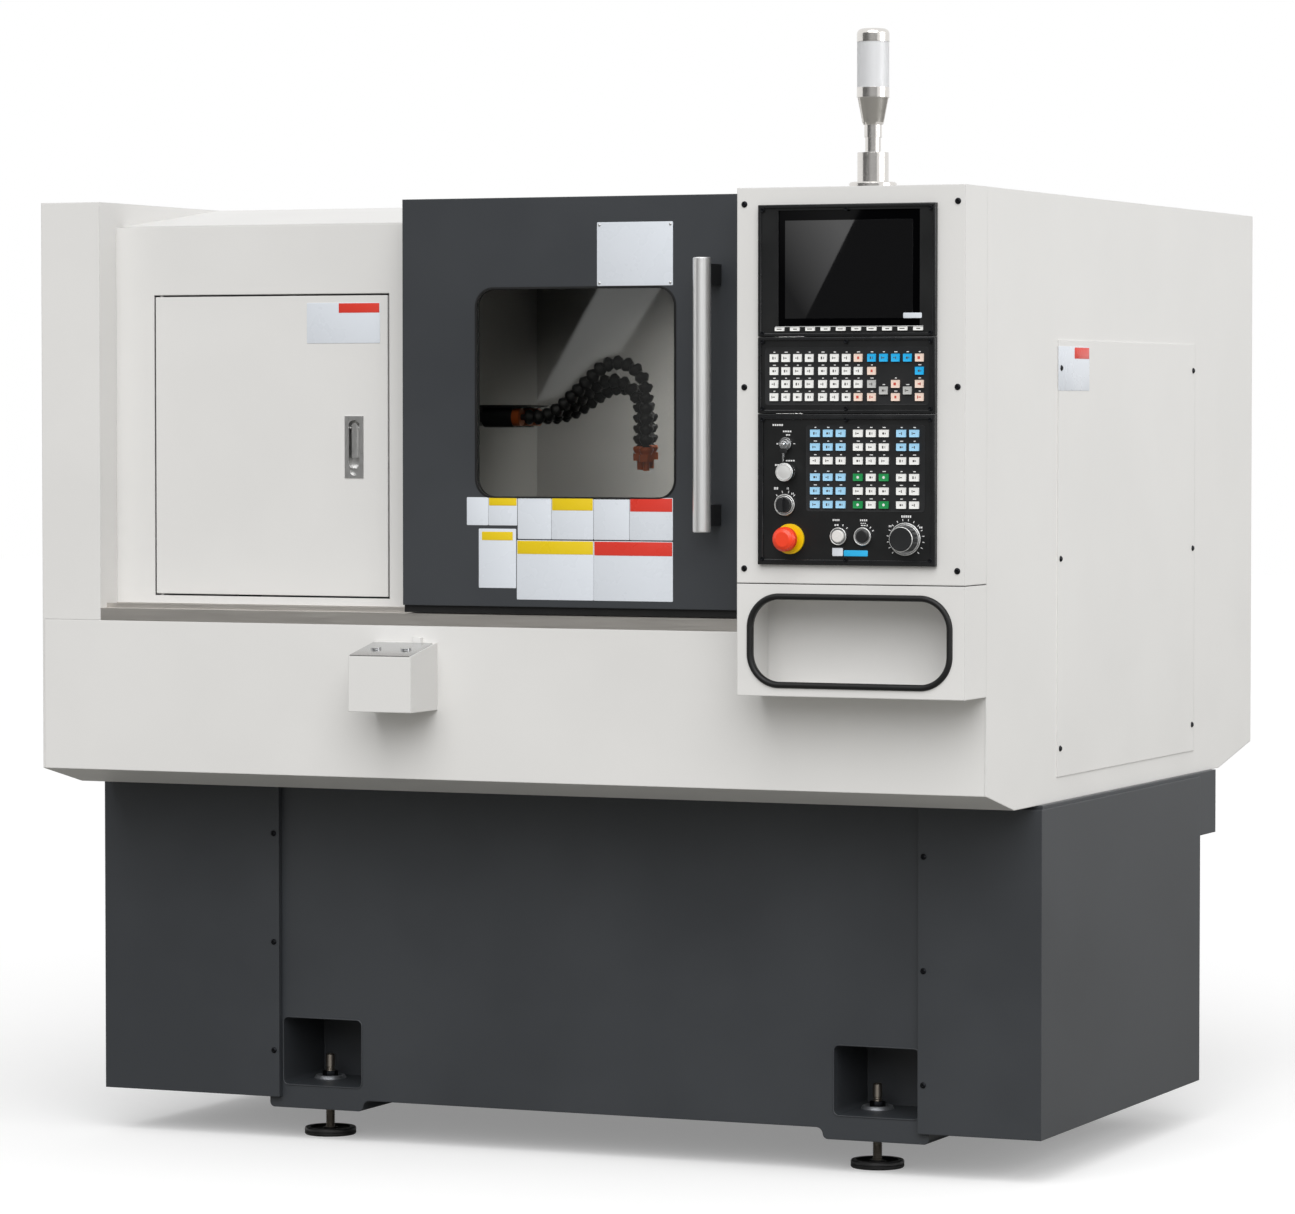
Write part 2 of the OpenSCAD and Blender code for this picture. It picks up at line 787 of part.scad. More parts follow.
module control_cabinet() color(white_paint) from_apron() difference() {
    slab(control_x, half_w, -control_out, control_back, cabinet_bottom, enclosure_top);
    slab(
        control_x + sheet_t, half_w - sheet_t, sheet_t - control_out, control_back + cut,
        cabinet_bottom + sheet_t, roof_under
    );
    slab(half_w - sheet_t, half_w + cut, 0, control_back + cut, cabinet_bottom - cut, enclosure_top + cut);
    front_plate(-control_out - cut, cut - control_out + sheet_t) rectangle(
        unit_x0 + unit_lap, unit_x1 - unit_lap,
        operator_bottom + unit_lap, screen_bottom + screen_h - unit_lap
    );
}

module storage_box() color(white_paint) from_apron() difference() {
    slab(control_x, half_w, -control_out, 0, storage_bottom, storage_top);
    slab(
        control_x + storage_wall, half_w - storage_wall, sheet_t - control_out, -sheet_t,
        storage_bottom + storage_floor, storage_top - storage_floor
    );
    front_plate(-control_out - cut, cut - control_out + sheet_t) rounded(
        trim_x0 + trim_lap, trim_x1 - trim_lap, trim_z0 + trim_lap, trim_z1 - trim_lap, trim_corner - trim_lap
    );
}

// Rubber edging: a half-round bead in front of the sheet and a tongue through its opening
module trim_outline(inset)
    rounded(trim_x0 + inset, trim_x1 - inset, trim_z0 + inset, trim_z1 - inset, trim_corner - inset);

module trim_bead() {
    bend_r = trim_corner - trim_r;
    bend_xs = [trim_x0 + trim_corner, trim_x1 - trim_corner];
    bend_zs = [trim_z0 + trim_corner, trim_z1 - trim_corner];
    for (z = [trim_z0 + trim_r, trim_z1 - trim_r]) bar_x(bend_xs[0], bend_xs[1], -control_out, z, trim_r);
    for (x = [trim_x0 + trim_r, trim_x1 - trim_r])
        translate([x, -control_out, bend_zs[0]]) cylinder(h = bend_zs[1] - bend_zs[0], r = trim_r);
    for (i = [0 : 1], j = [0 : 1])
        translate([bend_xs[i], -control_out, bend_zs[j]])
            rotate([90, i == j ? (i == 0 ? 180 : 0) : (i == 0 ? 270 : 90), 0])
                rotate_extrude(angle = 90) translate([bend_r, 0]) circle(r = trim_r);
}

module pocket_edge_trim() color(black_rubber) from_apron() {
    difference() {
        trim_bead();
        slab(trim_x0 - cut, trim_x1 + cut, -control_out, trim_r - control_out, trim_z0 - cut, trim_z1 + cut);
    }
    front_plate(-control_out, trim_out - control_out) difference() {
        trim_outline(trim_lap + trim_gap);
        trim_outline(2 * trim_r);
    }
}

// A control panel: a flat plate with a raised rim
module control_panel(z0, z1) difference() {
    front_plate(panel_face - panel_ridge, -control_out) rectangle(unit_x0, unit_x1, z0, z1);
    front_plate(panel_face - panel_ridge - cut, panel_face)
        rectangle(unit_x0 + panel_rim, unit_x1 - panel_rim, z0 + panel_rim, z1 - panel_rim);
}

module screen_unit() color(black_plastic) from_apron() difference() {
    control_panel(screen_bottom, screen_bottom + screen_h);
    front_plate(panel_face - cut, panel_face + glass_set + glass_t)
        rectangle(glass_x0, glass_x0 + glass_w, glass_z0, glass_z0 + glass_h);
}

module screen_glass() color("#0B0C0E") from_apron()
    front_plate(panel_face + glass_set, panel_face + glass_set + glass_t) rectangle(
        glass_x0 + glass_gap, glass_x0 + glass_w - glass_gap,
        glass_z0 + glass_gap, glass_z0 + glass_h - glass_gap
    );

module keypad_panel() color(black_plastic) from_apron()
    control_panel(keypad_bottom, keypad_bottom + keypad_h);

// Faces a child outwards from the control panels, at a place on them
module on_panel(at) translate([at[0], panel_face, at[1]]) rotate([90, 0, 0]) children();

module operator_panel() color(black_plastic) from_apron() difference() {
    control_panel(operator_bottom, operator_bottom + operator_h);
    for (c = concat(controls, [[stop_at, stop_stem_r]])) on_panel(c[0])
        translate([0, 0, -panel_out - cut]) cylinder(h = panel_out + 2 * cut, r = c[1] + control_gap);
}

module key_cap(at, w, h) on_panel(at) translate([-w / 2, -h / 2, 0]) cube([w, h, key_h]);

module panel_keys() color("#DDE3E6") from_apron() {
    soft_pitch = 25;
    for (i = [0 : 9]) key_cap([unit_x0 + 36 + i * soft_pitch, screen_bottom + 10], 16, 6);
    mdi_w = 15;
    mdi_h = 13;
    mdi_x = unit_x0 + 27.5;
    mdi_z = keypad_bottom + 87;
    mdi_dx = 20.05;
    mdi_dz = 20.6;
    mdi_block_gap = 2.6;
    for (col = [0 : 12], row = [0 : 3]) {
        sparse = col == 9 || col == 11;
        shown = row == 0 || (sparse ? row == 2 : row != 1 || col != 10);
        drop = sparse && row == 2 ? 2.5 : row;
        x = mdi_x + col * mdi_dx + floor(min(col, 11) / 4) * mdi_block_gap;
        if (shown) key_cap([x, mdi_z - drop * mdi_dz], mdi_w, mdi_h);
    }
    op_w = 17.5;
    op_h = 12.5;
    op_x = unit_x0 + 97.5;
    op_z = operator_bottom + 208.5;
    op_dx = 21.8;
    op_dz = 21.6;
    op_col_gap = 7.4;
    op_row_gap = 4.5;
    for (col = [0 : 7], row = [0 : 5]) {
        x = op_x + col * op_dx + floor(col / 3) * op_col_gap;
        z = op_z - row * op_dz - floor(row / 3) * op_row_gap;
        key_cap([x, z], op_w, op_h);
    }
}

module emergency_stop_collar() color("#E8B21A") from_apron() on_panel(stop_at) difference() {
    cylinder(h = stop_collar_h, r = stop_collar_r);
    translate([0, 0, -cut]) cylinder(h = stop_collar_h + 2 * cut, r = stop_stem_r + control_gap);
}

module control_bezels() color(bright_steel) from_apron() for (c = controls) on_panel(c[0]) difference() {
    cylinder(h = c[3], r = c[2]);
    translate([0, 0, -cut]) cylinder(h = c[3] + 2 * cut, r = c[1] + control_gap);
}

// Signal lamp

lamp_flange_r = 38;
lamp_flange_h = 8;
lamp_socket_r = 25;
lamp_socket_h = 55;
lamp_neck_r = 12.5;
lamp_neck_h = 79;
lamp_sleeve_r = 14;
lamp_sleeve_h = 99;
lamp_collar_r = 17.5;
lamp_collar_h = 109;
lamp_cup_h = 142;
lamp_ring_h = 158;
lamp_lens_h = 230;
lamp_cap_h = 251;
lamp_r = 26;

module at_lamp() from_apron() translate([lamp_x, lamp_y, enclosure_top]) children();

module lamp_post() color(bright_steel) at_lamp() rotate_extrude() polygon([
    [0, 0], [lamp_flange_r, 0], [lamp_flange_r, lamp_flange_h - 2], [lamp_flange_r - 2, lamp_flange_h],
    [lamp_socket_r, lamp_flange_h], [lamp_socket_r, lamp_socket_h], [lamp_neck_r, lamp_socket_h],
    [lamp_neck_r, lamp_neck_h], [lamp_sleeve_r, lamp_neck_h], [lamp_sleeve_r, lamp_sleeve_h],
    [lamp_collar_r - 2, lamp_sleeve_h], [lamp_collar_r, lamp_sleeve_h + 4],
    [lamp_collar_r + 1, lamp_collar_h], [lamp_r - 1, lamp_cup_h], [lamp_r, lamp_cup_h],
    [lamp_r, lamp_ring_h], [0, lamp_ring_h]
]);

module lamp_lens() color("#F2F3F4") at_lamp() translate([0, 0, lamp_ring_h]) difference() {
    wall = 3;
    cylinder(h = lamp_lens_h - lamp_ring_h, r = lamp_r - 0.5);
    translate([0, 0, -cut]) cylinder(h = lamp_lens_h - lamp_ring_h + 2 * cut, r = lamp_r - wall);
}

module lamp_cap() color(bright_steel) at_lamp() translate([0, 0, lamp_lens_h]) {
    cap_h = lamp_cap_h - lamp_lens_h;
    round_r = 9;
    rotate_extrude() {
        square([lamp_r, cap_h - round_r]);
        square([lamp_r - round_r, cap_h]);
        translate([lamp_r - round_r, cap_h - round_r]) intersection() {
            circle(round_r);
            square(round_r);
        }
    }
}

// Chamber and working parts

// Side wall of the chamber, notched round the gutter of the door's upper guide
module chamber_wall(x) side_plate(x, x + sheet_t) polygon([
    [control_back, way_top + liner_gap], [chamber_back, way_top + liner_gap], [chamber_back, chamber_top],
    [gutter_back + slide_gap, chamber_top], [gutter_back + slide_gap, gutter_floor - sheet_t - liner_gap],
    [control_back, gutter_floor - sheet_t - liner_gap]
]);

// Splash panels round the chamber, each a sheet of its own with a sealing gap to the next
module chamber_liner() color("#8F928F") from_apron() {
    seal = slide_gap;
    back_y = chamber_back + seal;
    difference() {
        chamber_wall(chamber_x0 - sheet_t);
        bar_x(chamber_x0 - sheet_t - cut, chamber_x0 + cut, spindle_y, spindle_z, chuck_hole_r);
    }
    chamber_wall(chamber_x1);
    slab(
        chamber_x0 - sheet_t, chamber_x1 + sheet_t, back_y, back_y + sheet_t,
        chamber_back_bottom, chamber_top
    );
    slab(
        chamber_x0 - sheet_t, chamber_x1 + sheet_t, gutter_back + seal, back_y + sheet_t,
        chamber_top + seal, chamber_top + seal + sheet_t
    );
    side_plate(chamber_x0 + seal, chamber_x1 - seal) polygon([
        [control_back, chute_top], [chute_y, tray_bottom + chute_drop],
        [chute_y, tray_bottom + chute_drop - 2 * sheet_t], [control_back, chute_top - 2 * sheet_t]
    ]);
}

module bed() color(cast_grey) from_apron() difference() {
    union() {
        slab(bed_x0, bed_x1, bed_y0, bed_y1, tray_bottom, bed_top);
        slab(bed_x0, headstock_x1, bed_y0, bed_y1, bed_top - cut, way_top);
        for (y = way_ys) slab(headstock_x1 - cut, bed_x1, y, y + way_w, bed_top - cut, way_top);
    }
    slab(
        z_trough_x0, z_trough_x1, z_screw_y - z_trough_w / 2, z_screw_y + z_trough_w / 2,
        bed_top - z_trough_d, way_top + cut
    );
    bar_x(z_trough_x0 - x_end_wall, bed_x1 + cut, z_screw_y, z_screw_z, z_screw_r + shaft_gap);
}

module headstock() color(cast_grey) from_apron() difference() {
    union() {
        side_plate(headstock_x0, headstock_x1) polygon([
            [spindle_y - headstock_half, way_top], [spindle_y + headstock_half, way_top],
            [spindle_y + headstock_half, spindle_z + 40], [spindle_y + 75, headstock_top],
            [spindle_y - 75, headstock_top], [spindle_y - headstock_half, spindle_z + 40]
        ]);
        bar_x(headstock_x0 - 10, headstock_x0 + cut, spindle_y, spindle_z, nose_r);
    }
    bar_x(headstock_x0 - 20, headstock_x1 + cut, spindle_y, spindle_z, spindle_r + shaft_gap);
}

// Ribbed pulley, drawn up from Z = 0
module pulley(r) {
    flange_t = 3;
    flange_h = 4;
    cylinder(h = pulley_w, r = r);
    for (z = [0, pulley_w - flange_t]) translate([0, 0, z]) cylinder(h = flange_t, r = r + flange_h);
}

module along_x(x, y, z) translate([x, y, z]) rotate([0, 90, 0]) children();

module spindle() color(bright_steel) from_apron() difference() {
    union() {
        bar_x(pulley_x0 - closer_l, headstock_x1 + slide_gap + nose_l, spindle_y, spindle_z, spindle_r);
        bar_x(headstock_x1 + slide_gap, headstock_x1 + slide_gap + nose_l, spindle_y, spindle_z, nose_r);
        along_x(pulley_x0, spindle_y, spindle_z) pulley(spindle_pulley_r);
        bar_x(pulley_x0 - closer_l, pulley_x0 - 10, spindle_y, spindle_z, closer_r);
    }
    bar_x(pulley_x0 - closer_l - cut, headstock_x1 + nose_l + 2 * cut, spindle_y, spindle_z, bar_r + 1);
}

module collet_chuck() color(bright_steel) from_apron()
    along_x(headstock_x1 + slide_gap + nose_l, spindle_y, spindle_z) difference() {
        taper = 22;
        slit_w = 1.5;
        slit_l = 30;
        union() {
            cylinder(h = chuck_l - taper, r = chuck_r);
            translate([0, 0, chuck_l - taper]) cylinder(h = taper, r1 = chuck_r, r2 = chuck_r - taper);
        }
        translate([0, 0, -cut]) cylinder(h = chuck_l + 2 * cut, r = bar_r);
        for (a = [0, 120, 240]) rotate([0, 0, a])
            translate([0, -slit_w / 2, chuck_l - slit_l]) cube([bar_r + 8, slit_w, slit_l + cut]);
        for (a = [60, 180, 300]) rotate([0, 0, a])
            translate([chuck_r - 10, 0, chuck_l / 3]) rotate([0, 90, 0]) cylinder(h = 20, r = 5);
    }

module spindle_motor() color("#4A5058") from_apron() difference() {
    foot_w = 80;
    union() {
        bar_x(motor_x0 + 15, motor_x1, motor_y, motor_z, motor_r);
        slab(motor_x0, motor_x0 + 15, motor_y - motor_r, motor_y + motor_r, way_top, motor_z + motor_r);
        slab(motor_x0 + 30, motor_x1 - 30, motor_y - foot_w, motor_y + foot_w, way_top, motor_z - 40);
    }
    bar_x(motor_x0 - cut, motor_x0 + motor_shaft_in + 5, motor_y, motor_z, motor_shaft_r + shaft_gap);
}

module motor_pulley() color(bright_steel) from_apron() {
    along_x(pulley_x0, motor_y, motor_z) pulley(motor_pulley_r);
    bar_x(pulley_x0, motor_x0 + motor_shaft_in, motor_y, motor_z, motor_shaft_r);
}

// Loop round the two pulleys, drawn in Y and Z
function belt_arc(centre, r, from, to) = [
    for (i = [0 : belt_steps]) let (a = from + (to - from) * i / belt_steps) centre + r * [cos(a), sin(a)]
];

module belt_loop(grow) {
    big = spindle_pulley_r + grow;
    small = motor_pulley_r + grow;
    run = [motor_y - spindle_y, motor_z - spindle_z];
    turn = atan2(run[1], run[0]);
    lean = acos((big - small) / norm(run));
    translate([spindle_y, spindle_z]) polygon(concat(
        belt_arc([0, 0], big, turn + lean, turn + 360 - lean),
        belt_arc(run, small, turn - lean, turn + lean)
    ));
}

module drive_belt() color(black_rubber) from_apron() {
    flange_clear = 5;
    side_plate(pulley_x0 + flange_clear, pulley_x1 - flange_clear) difference() {
        belt_loop(belt_gap + belt_t);
        belt_loop(belt_gap);
    }
}

// Servo motor body, drawn up from Z = 0, with a hole for the end of its screw
module servo(w, l, shaft_r) difference() {
    flange_t = 12;
    union() {
        translate([-w / 2, -w / 2, 0]) cube([w, w, flange_t]);
        cylinder(h = l, r = w / 2 - 6);
        translate([-w / 4, -w / 2 - 8, l - 50]) cube([w / 2, w / 2, 36]);
    }
    translate([0, 0, -cut]) cylinder(h = servo_shaft_in + 2 + cut, r = shaft_r + shaft_gap);
}

module z_servo() color(black_plastic) from_apron()
    along_x(bed_x1, z_screw_y, z_screw_z) servo(z_servo_w, z_servo_l, z_screw_r);

module z_ball_screw() color(bright_steel) from_apron()
    bar_x(z_trough_x0 - x_end_wall + 2, bed_x1 + servo_shaft_in, z_screw_y, z_screw_z, z_screw_r);

module carriage() color(cast_grey) from_apron() difference() {
    nut_x = x_screw_x - z_nut_l / 2;
    way_ends = [way_ys[0] - slide_gap, way_ys[1] + way_w + slide_gap];
    union() {
        slab(carriage_x0, carriage_x1, carriage_y0, carriage_y1, carriage_bottom, carriage_top);
        slab(carriage_x0, carriage_x1, carriage_y0, way_ends[0], way_top - way_h + liner_gap, carriage_top);
        slab(carriage_x0, carriage_x1, way_ends[1], carriage_y1, way_top - way_h + liner_gap, carriage_top);
        slab(
            nut_x, nut_x + z_nut_l, z_screw_y - z_nut_w / 2, z_screw_y + z_nut_w / 2,
            z_screw_z - z_screw_r - 5, carriage_bottom + cut
        );
        for (x = [carriage_x0 + cross_way_set, carriage_x1 - cross_way_set - cross_way_w])
            slab(x, x + cross_way_w, carriage_y0, carriage_y1, carriage_top - cut, cross_way_top);
    }
    bar_x(nut_x - cut, nut_x + z_nut_l + cut, z_screw_y, z_screw_z, z_screw_r + shaft_gap);
    slab(
        x_screw_x - x_trough_w / 2, x_screw_x + x_trough_w / 2,
        carriage_y0 + x_end_wall, carriage_y1 - x_end_wall, carriage_top - x_trough_d, cross_way_top + cut
    );
    bar_y(carriage_y0 + 2, carriage_y1 + cut, x_screw_x, x_screw_z, x_screw_r + shaft_gap);
}

module x_servo() color(black_plastic) from_apron() translate([x_screw_x, carriage_y1, x_screw_z])
    rotate([-90, 0, 0]) servo(x_servo_w, x_servo_l, x_screw_r);

module x_ball_screw() color(bright_steel) from_apron()
    bar_y(carriage_y0 + 4, carriage_y1 + servo_shaft_in, x_screw_x, x_screw_z, x_screw_r);

module tool_table() color(cast_grey) from_apron() difference() {
    way_in = cross_way_set - slide_gap;
    lip_bottom = cross_way_top - cross_way_h + liner_gap;
    table_y1 = table_y0 + table_l;
    union() {
        slab(table_x0, table_x1, table_y0, table_y1, table_bottom, table_top);
        slab(table_x0, carriage_x0 + way_in, table_y0, table_y1, lip_bottom, table_top);
        slab(carriage_x1 - way_in, table_x1, table_y0, table_y1, lip_bottom, table_top);
        slab(
            x_screw_x - x_nut_w / 2, x_screw_x + x_nut_w / 2, x_nut_y, x_nut_y + x_nut_l,
            x_screw_z - x_screw_r - 3, table_bottom + cut
        );
    }
    bar_y(x_nut_y - cut, x_nut_y + x_nut_l + cut, x_screw_x, x_screw_z, x_screw_r + shaft_gap);
}

// One tool block with its turning tool, whose tip is level with the spindle axis
module tool_holder(y) {
    x0 = table_x0 + 10;
    block_top = spindle_z + 30;
    tool_z = spindle_z - tool_w;
    difference() {
        slab(x0, x0 + holder_l, y - holder_w / 2, y + holder_w / 2, table_top, block_top);
        slab(x0 - cut, x0 + holder_l + cut, y - holder_w / 2 - cut, y - tool_w / 2, tool_z, spindle_z + 5);
    }
    side_plate(x0 - tool_reach + 12, x0 + 10) rectangle(y - tool_w / 2, y + tool_w / 2, tool_z, spindle_z);
    translate([x0 - tool_reach + 12, y, tool_z + tool_w - 6]) linear_extrude(6)
        polygon([[0, -tool_w / 2], [-12, -tool_w / 2], [-4, tool_w / 2], [0, tool_w / 2]]);
}

module tool_holders() color("#2E3136") from_apron()
    for (i = [0 : holder_count - 1]) tool_holder(holder_first + i * holder_pitch);

// Coolant manifold, hoses and orange fittings

// Cup of a hose link: its socket is at the origin and opens downwards
// Cup of a link: a flared mouth, a shoulder and a taper to the neck, round a ball socket
module link_cup() difference() {
    rotate_extrude() polygon([
        [0, -cup_mouth], [link_r - mouth_in, -cup_mouth], [link_r, 0], [link_r, shoulder_h],
        [ball_r, ball_r + cup_wall], [0, ball_r + cup_wall]
    ]);
    sphere(ball_r + ball_gap);
}

module hose_link() difference() {
    union() {
        link_cup();
        translate([0, 0, ball_r + 1]) cylinder(h = link_pitch - ball_r - 1, r = neck_r);
        translate([0, 0, link_pitch]) sphere(ball_r);
    }
    cylinder(h = 2 * link_pitch, r = hose_bore_r);
}

module along_hose(h, i) translate(link_at(h, i)) rotate([0, 90 - heading(h, i), 0]) children();

module coolant_hoses() color(black_plastic) from_apron()
    for (h = hoses, i = [0 : link_count(h) - 1]) along_hose(h, i) hose_link();

module coolant_manifold() color(black_plastic) from_apron() {
    plate_t = 4;
    valve_x0 = valve_x1 - valve_l;
    block_x0 = valve_x0 - 44;
    block_w = 2 * hose_spacing + 50;
    plate_z = valve_z + valve_r - cut;
    slab(chamber_x0, valve_x1 + 40, hose_y - block_w / 2, hose_y + block_w / 2, plate_z, plate_z + plate_t);
    slab(block_x0, block_x0 + 20, hose_y - block_w / 2, hose_y + block_w / 2, valve_z - 15, plate_z + cut);
    for (h = hoses) {
        y = hose_y + h[0] * hose_spacing;
        bar_x(block_x0 + 10, valve_x0 + cut, y, valve_z, 10);
        bar_x(valve_x0, valve_x1, y, valve_z, valve_r);
        difference() {
            union() {
                bar_x(valve_x1 - cut, hose_x0, y, valve_z, neck_r);
                translate([hose_x0, y, valve_z]) sphere(ball_r);
            }
            bar_x(valve_x1, hose_x0 + ball_r + cut, y, valve_z, hose_bore_r);
        }
    }
}

// Nozzle at the end of a hose: a cup, a collar and a tube
module hose_nozzle() {
    collar_h = 12;
    tube_r = 5.5;
    nozzle_l = 36;
    difference() {
        union() {
            link_cup();
            translate([0, 0, ball_r + 1]) cylinder(h = collar_h, r = link_r + 1, $fn = 6);
            translate([0, 0, ball_r + collar_h]) cylinder(h = nozzle_l - ball_r - collar_h, r = tube_r);
        }
        cylinder(h = nozzle_l + cut, r = hose_bore_r);
    }
}

module coolant_fittings() color(orange_plastic) from_apron() for (h = hoses) {
    y = hose_y + h[0] * hose_spacing;
    along_hose(h, link_count(h)) hose_nozzle();
    difference() {
        bar_x(valve_x1, valve_x1 + ring_l, y, valve_z, ring_r);
        bar_x(valve_x1 - cut, valve_x1 + ring_l + cut, y, valve_z, neck_r + ball_gap);
    }
}

// Sliding door

module window_outline(grow) rounded(
    window_x0 - grow, window_x1 + grow, window_bottom - grow, window_top + grow, window_r + grow
);

module sliding_door() color(grey_paint) from_apron() {
    difference() {
        slab(door_x0, door_x1, -door_out, door_back, door_bottom, door_top);
        slab(
            door_x0 + sheet_t, door_x1 - sheet_t, door_skin_back, door_back + cut,
            door_bottom + sheet_t, door_top - sheet_t
        );
        front_plate(-door_out - cut, door_skin_back + cut) window_outline(gasket_w);
    }
    for (x = [door_x0 + 20, door_x1 - 20 - hook_l]) {
        slab(x, x + hook_l, door_skin_back - cut, hook_y + sheet_t, hook_z, hook_z + sheet_t);
        slab(x, x + hook_l, hook_y, hook_y + sheet_t, gutter_floor + slide_gap, hook_z + sheet_t);
    }
}

module door_window() color([0.8, 0.85, 0.87, 0.35]) from_apron()
    front_plate(door_skin_back, door_skin_back + pane_t) window_outline(gasket_w - 1);

// Gasket round the pane, and the wiper that runs along the sill's rib
module door_seals() color(black_rubber) from_apron() {
    difference() {
        union() {
            front_plate(-door_out - gasket_lip / 2, -door_out) window_outline(gasket_w + gasket_lip);
            front_plate(-door_out - cut, door_skin_back + pane_t + gasket_lip)
                window_outline(gasket_w - trim_gap);
        }
        front_plate(-door_out - gasket_lip, door_back) window_outline(0);
        front_plate(door_skin_back - trim_gap, door_skin_back + pane_t + trim_gap)
            window_outline(gasket_w - 1 + trim_gap);
    }
    wiper_inset = 6;
    wiper_bottom = sill_top + 2;
    difference() {
        slab(door_x0, door_x1, wiper_inset - door_out, door_back - 2, wiper_bottom, door_bottom);
        slab(
            door_x0 - cut, door_x1 + cut, sill_rib_y - slide_gap, sill_rib_y + sill_rib_w + slide_gap,
            wiper_bottom - cut, sill_top + sill_rib_h + slide_gap
        );
    }
}

module door_handle_bar() color(bright_steel) from_apron() translate([handle_x, -handle_out, handle_z0])
    rotate_extrude() {
        edge = 1.5;
        polygon([
            [0, 0], [handle_r - edge, 0], [handle_r, edge], [handle_r, handle_l - edge],
            [handle_r - edge, handle_l], [0, handle_l]
        ]);
    }

module door_handle_brackets() color(black_plastic) from_apron() difference() {
    for (z = [handle_z0 + bracket_set, handle_z0 + handle_l - bracket_set - bracket_h])
        slab(
            handle_x - bracket_w / 2, handle_x + bracket_w / 2, -handle_out, -door_out,
            z, z + bracket_h
        );
    translate([handle_x, -handle_out, handle_z0 - cut])
        cylinder(h = handle_l + 2 * cut, r = handle_r + trim_gap);
}

// Access door and latch

module access_door() color(white_paint) from_apron() {
    latch_in = latch_body_inset - trim_gap;
    difference() {
        slab(access_x0, access_x1, recess_y, recess_y + access_d, access_bottom, access_top);
        slab(
            access_x0 + sheet_t, access_x1 - sheet_t, control_back, recess_y + access_d + cut,
            access_bottom + sheet_t, access_top - sheet_t
        );
        front_plate(recess_y - cut, control_back + cut) rectangle(
            latch_x - latch_w / 2 + latch_in, latch_x + latch_w / 2 - latch_in,
            latch_z - latch_h / 2 + latch_in, latch_z + latch_h / 2 - latch_in
        );
    }
    for (z = [access_bottom - pivot_l + sheet_t, access_top - sheet_t])
        translate([access_x0 + pivot_set, recess_y + pivot_set, z]) cylinder(h = pivot_l, r = pivot_r);
}

// Slot of the latch cup, drawn in X and Z
module latch_slot() {
    slot_w = lever_w + 5;
    rounded(
        latch_x - slot_w / 2, latch_x + slot_w / 2,
        latch_z - latch_h / 2 + 16, latch_z + latch_h / 2 - 7, slot_w / 2 - 0.5
    );
}

module latch_cup() color(bright_steel) from_apron() difference() {
    union() {
        front_plate(recess_y - latch_rim, recess_y) rectangle(
            latch_x - latch_w / 2, latch_x + latch_w / 2, latch_z - latch_h / 2, latch_z + latch_h / 2
        );
        front_plate(recess_y - cut, recess_y + latch_body_d) rectangle(
            latch_x - latch_w / 2 + latch_body_inset, latch_x + latch_w / 2 - latch_body_inset,
            latch_z - latch_h / 2 + latch_body_inset, latch_z + latch_h / 2 - latch_body_inset
        );
    }
    front_plate(recess_y - latch_rim - cut, recess_y + latch_body_d - sheet_t) latch_slot();
    front_plate(recess_y - latch_rim - cut, recess_y + latch_thumb_d) latch_thumb_pocket();
}

// U-shaped pocket for the thumb, under the lever's end
module latch_thumb_pocket() {
    pocket_r = lever_w / 2;
    pocket_z = latch_z - latch_h / 2 + latch_thumb_set + pocket_r;
    translate([latch_x, pocket_z]) circle(r = pocket_r);
    rectangle(latch_x - pocket_r, latch_x + pocket_r, pocket_z, pocket_z + latch_thumb_rise);
}

module latch_lever() color(bright_steel) from_apron() {
    lever_y = recess_y + slide_gap;
    lever_x0 = latch_x - lever_w / 2;
    lever_x1 = latch_x + lever_w / 2;
    edge = 3;
    pin_r = 2;
    intersection() {
        front_plate(lever_y, lever_y + lever_t) {
            translate([latch_x, lever_pivot_z]) circle(lever_w / 2);
            rectangle(lever_x0, lever_x1, lever_pivot_z - lever_l, lever_pivot_z);
        }
        translate([0, 0, lever_pivot_z - lever_l - cut]) linear_extrude(lever_l + lever_w) polygon([
            [lever_x0 - cut, lever_y + lever_t + cut], [lever_x0 - cut, lever_y + edge + cut],
            [lever_x0 + edge, lever_y], [lever_x1 - edge, lever_y], [lever_x1 + cut, lever_y + edge + cut],
            [lever_x1 + cut, lever_y + lever_t + cut]
        ]);
    }
    bar_x(lever_x0 - 2, lever_x1 + 2, lever_y + lever_t / 2, lever_pivot_z, pin_r);
}

// Operator controls that move

// Stem of a control, from inside the panel out to a height
module stem(r, out) translate([0, 0, -stem_in]) cylinder(h = stem_in + out, r = r);

module emergency_stop_button() color("#C8281E") from_apron() on_panel(stop_at) {
    head_h = 22;
    stem(stop_stem_r, stop_out - head_h + cut);
    translate([0, 0, stop_out - head_h]) rotate_extrude() polygon([
        [0, 0], [stop_head_r - 4, 0], [stop_head_r, 6], [stop_head_r, 14], [stop_head_r - 3, 19],
        [stop_head_r - 8, head_h], [0, head_h]
    ]);
}

module key_switch_key() color(bright_steel) from_apron() on_panel(key_at) {
    barrel_out = 7;
    blade_out = 14;
    bow_r = 8;
    bow_t = 2.4;
    stem(controls[0][1], barrel_out);
    translate([-3, -bow_t / 2, barrel_out - cut]) cube([6, bow_t, blade_out - barrel_out + 4]);
    translate([0, bow_t / 2, blade_out + bow_r]) rotate([90, 0, 0]) cylinder(h = bow_t, r = bow_r);
}

module silver_push_button() color(bright_steel) from_apron() on_panel(silver_at) {
    head_r = 14.5;
    head_z0 = 8;
    head_h = 9;
    stem(controls[1][1], head_z0 + cut);
    translate([0, 0, head_z0]) rotate_extrude()
        polygon([[0, 0], [head_r, 0], [head_r, head_h - 2], [head_r - 2, head_h], [0, head_h]]);
}

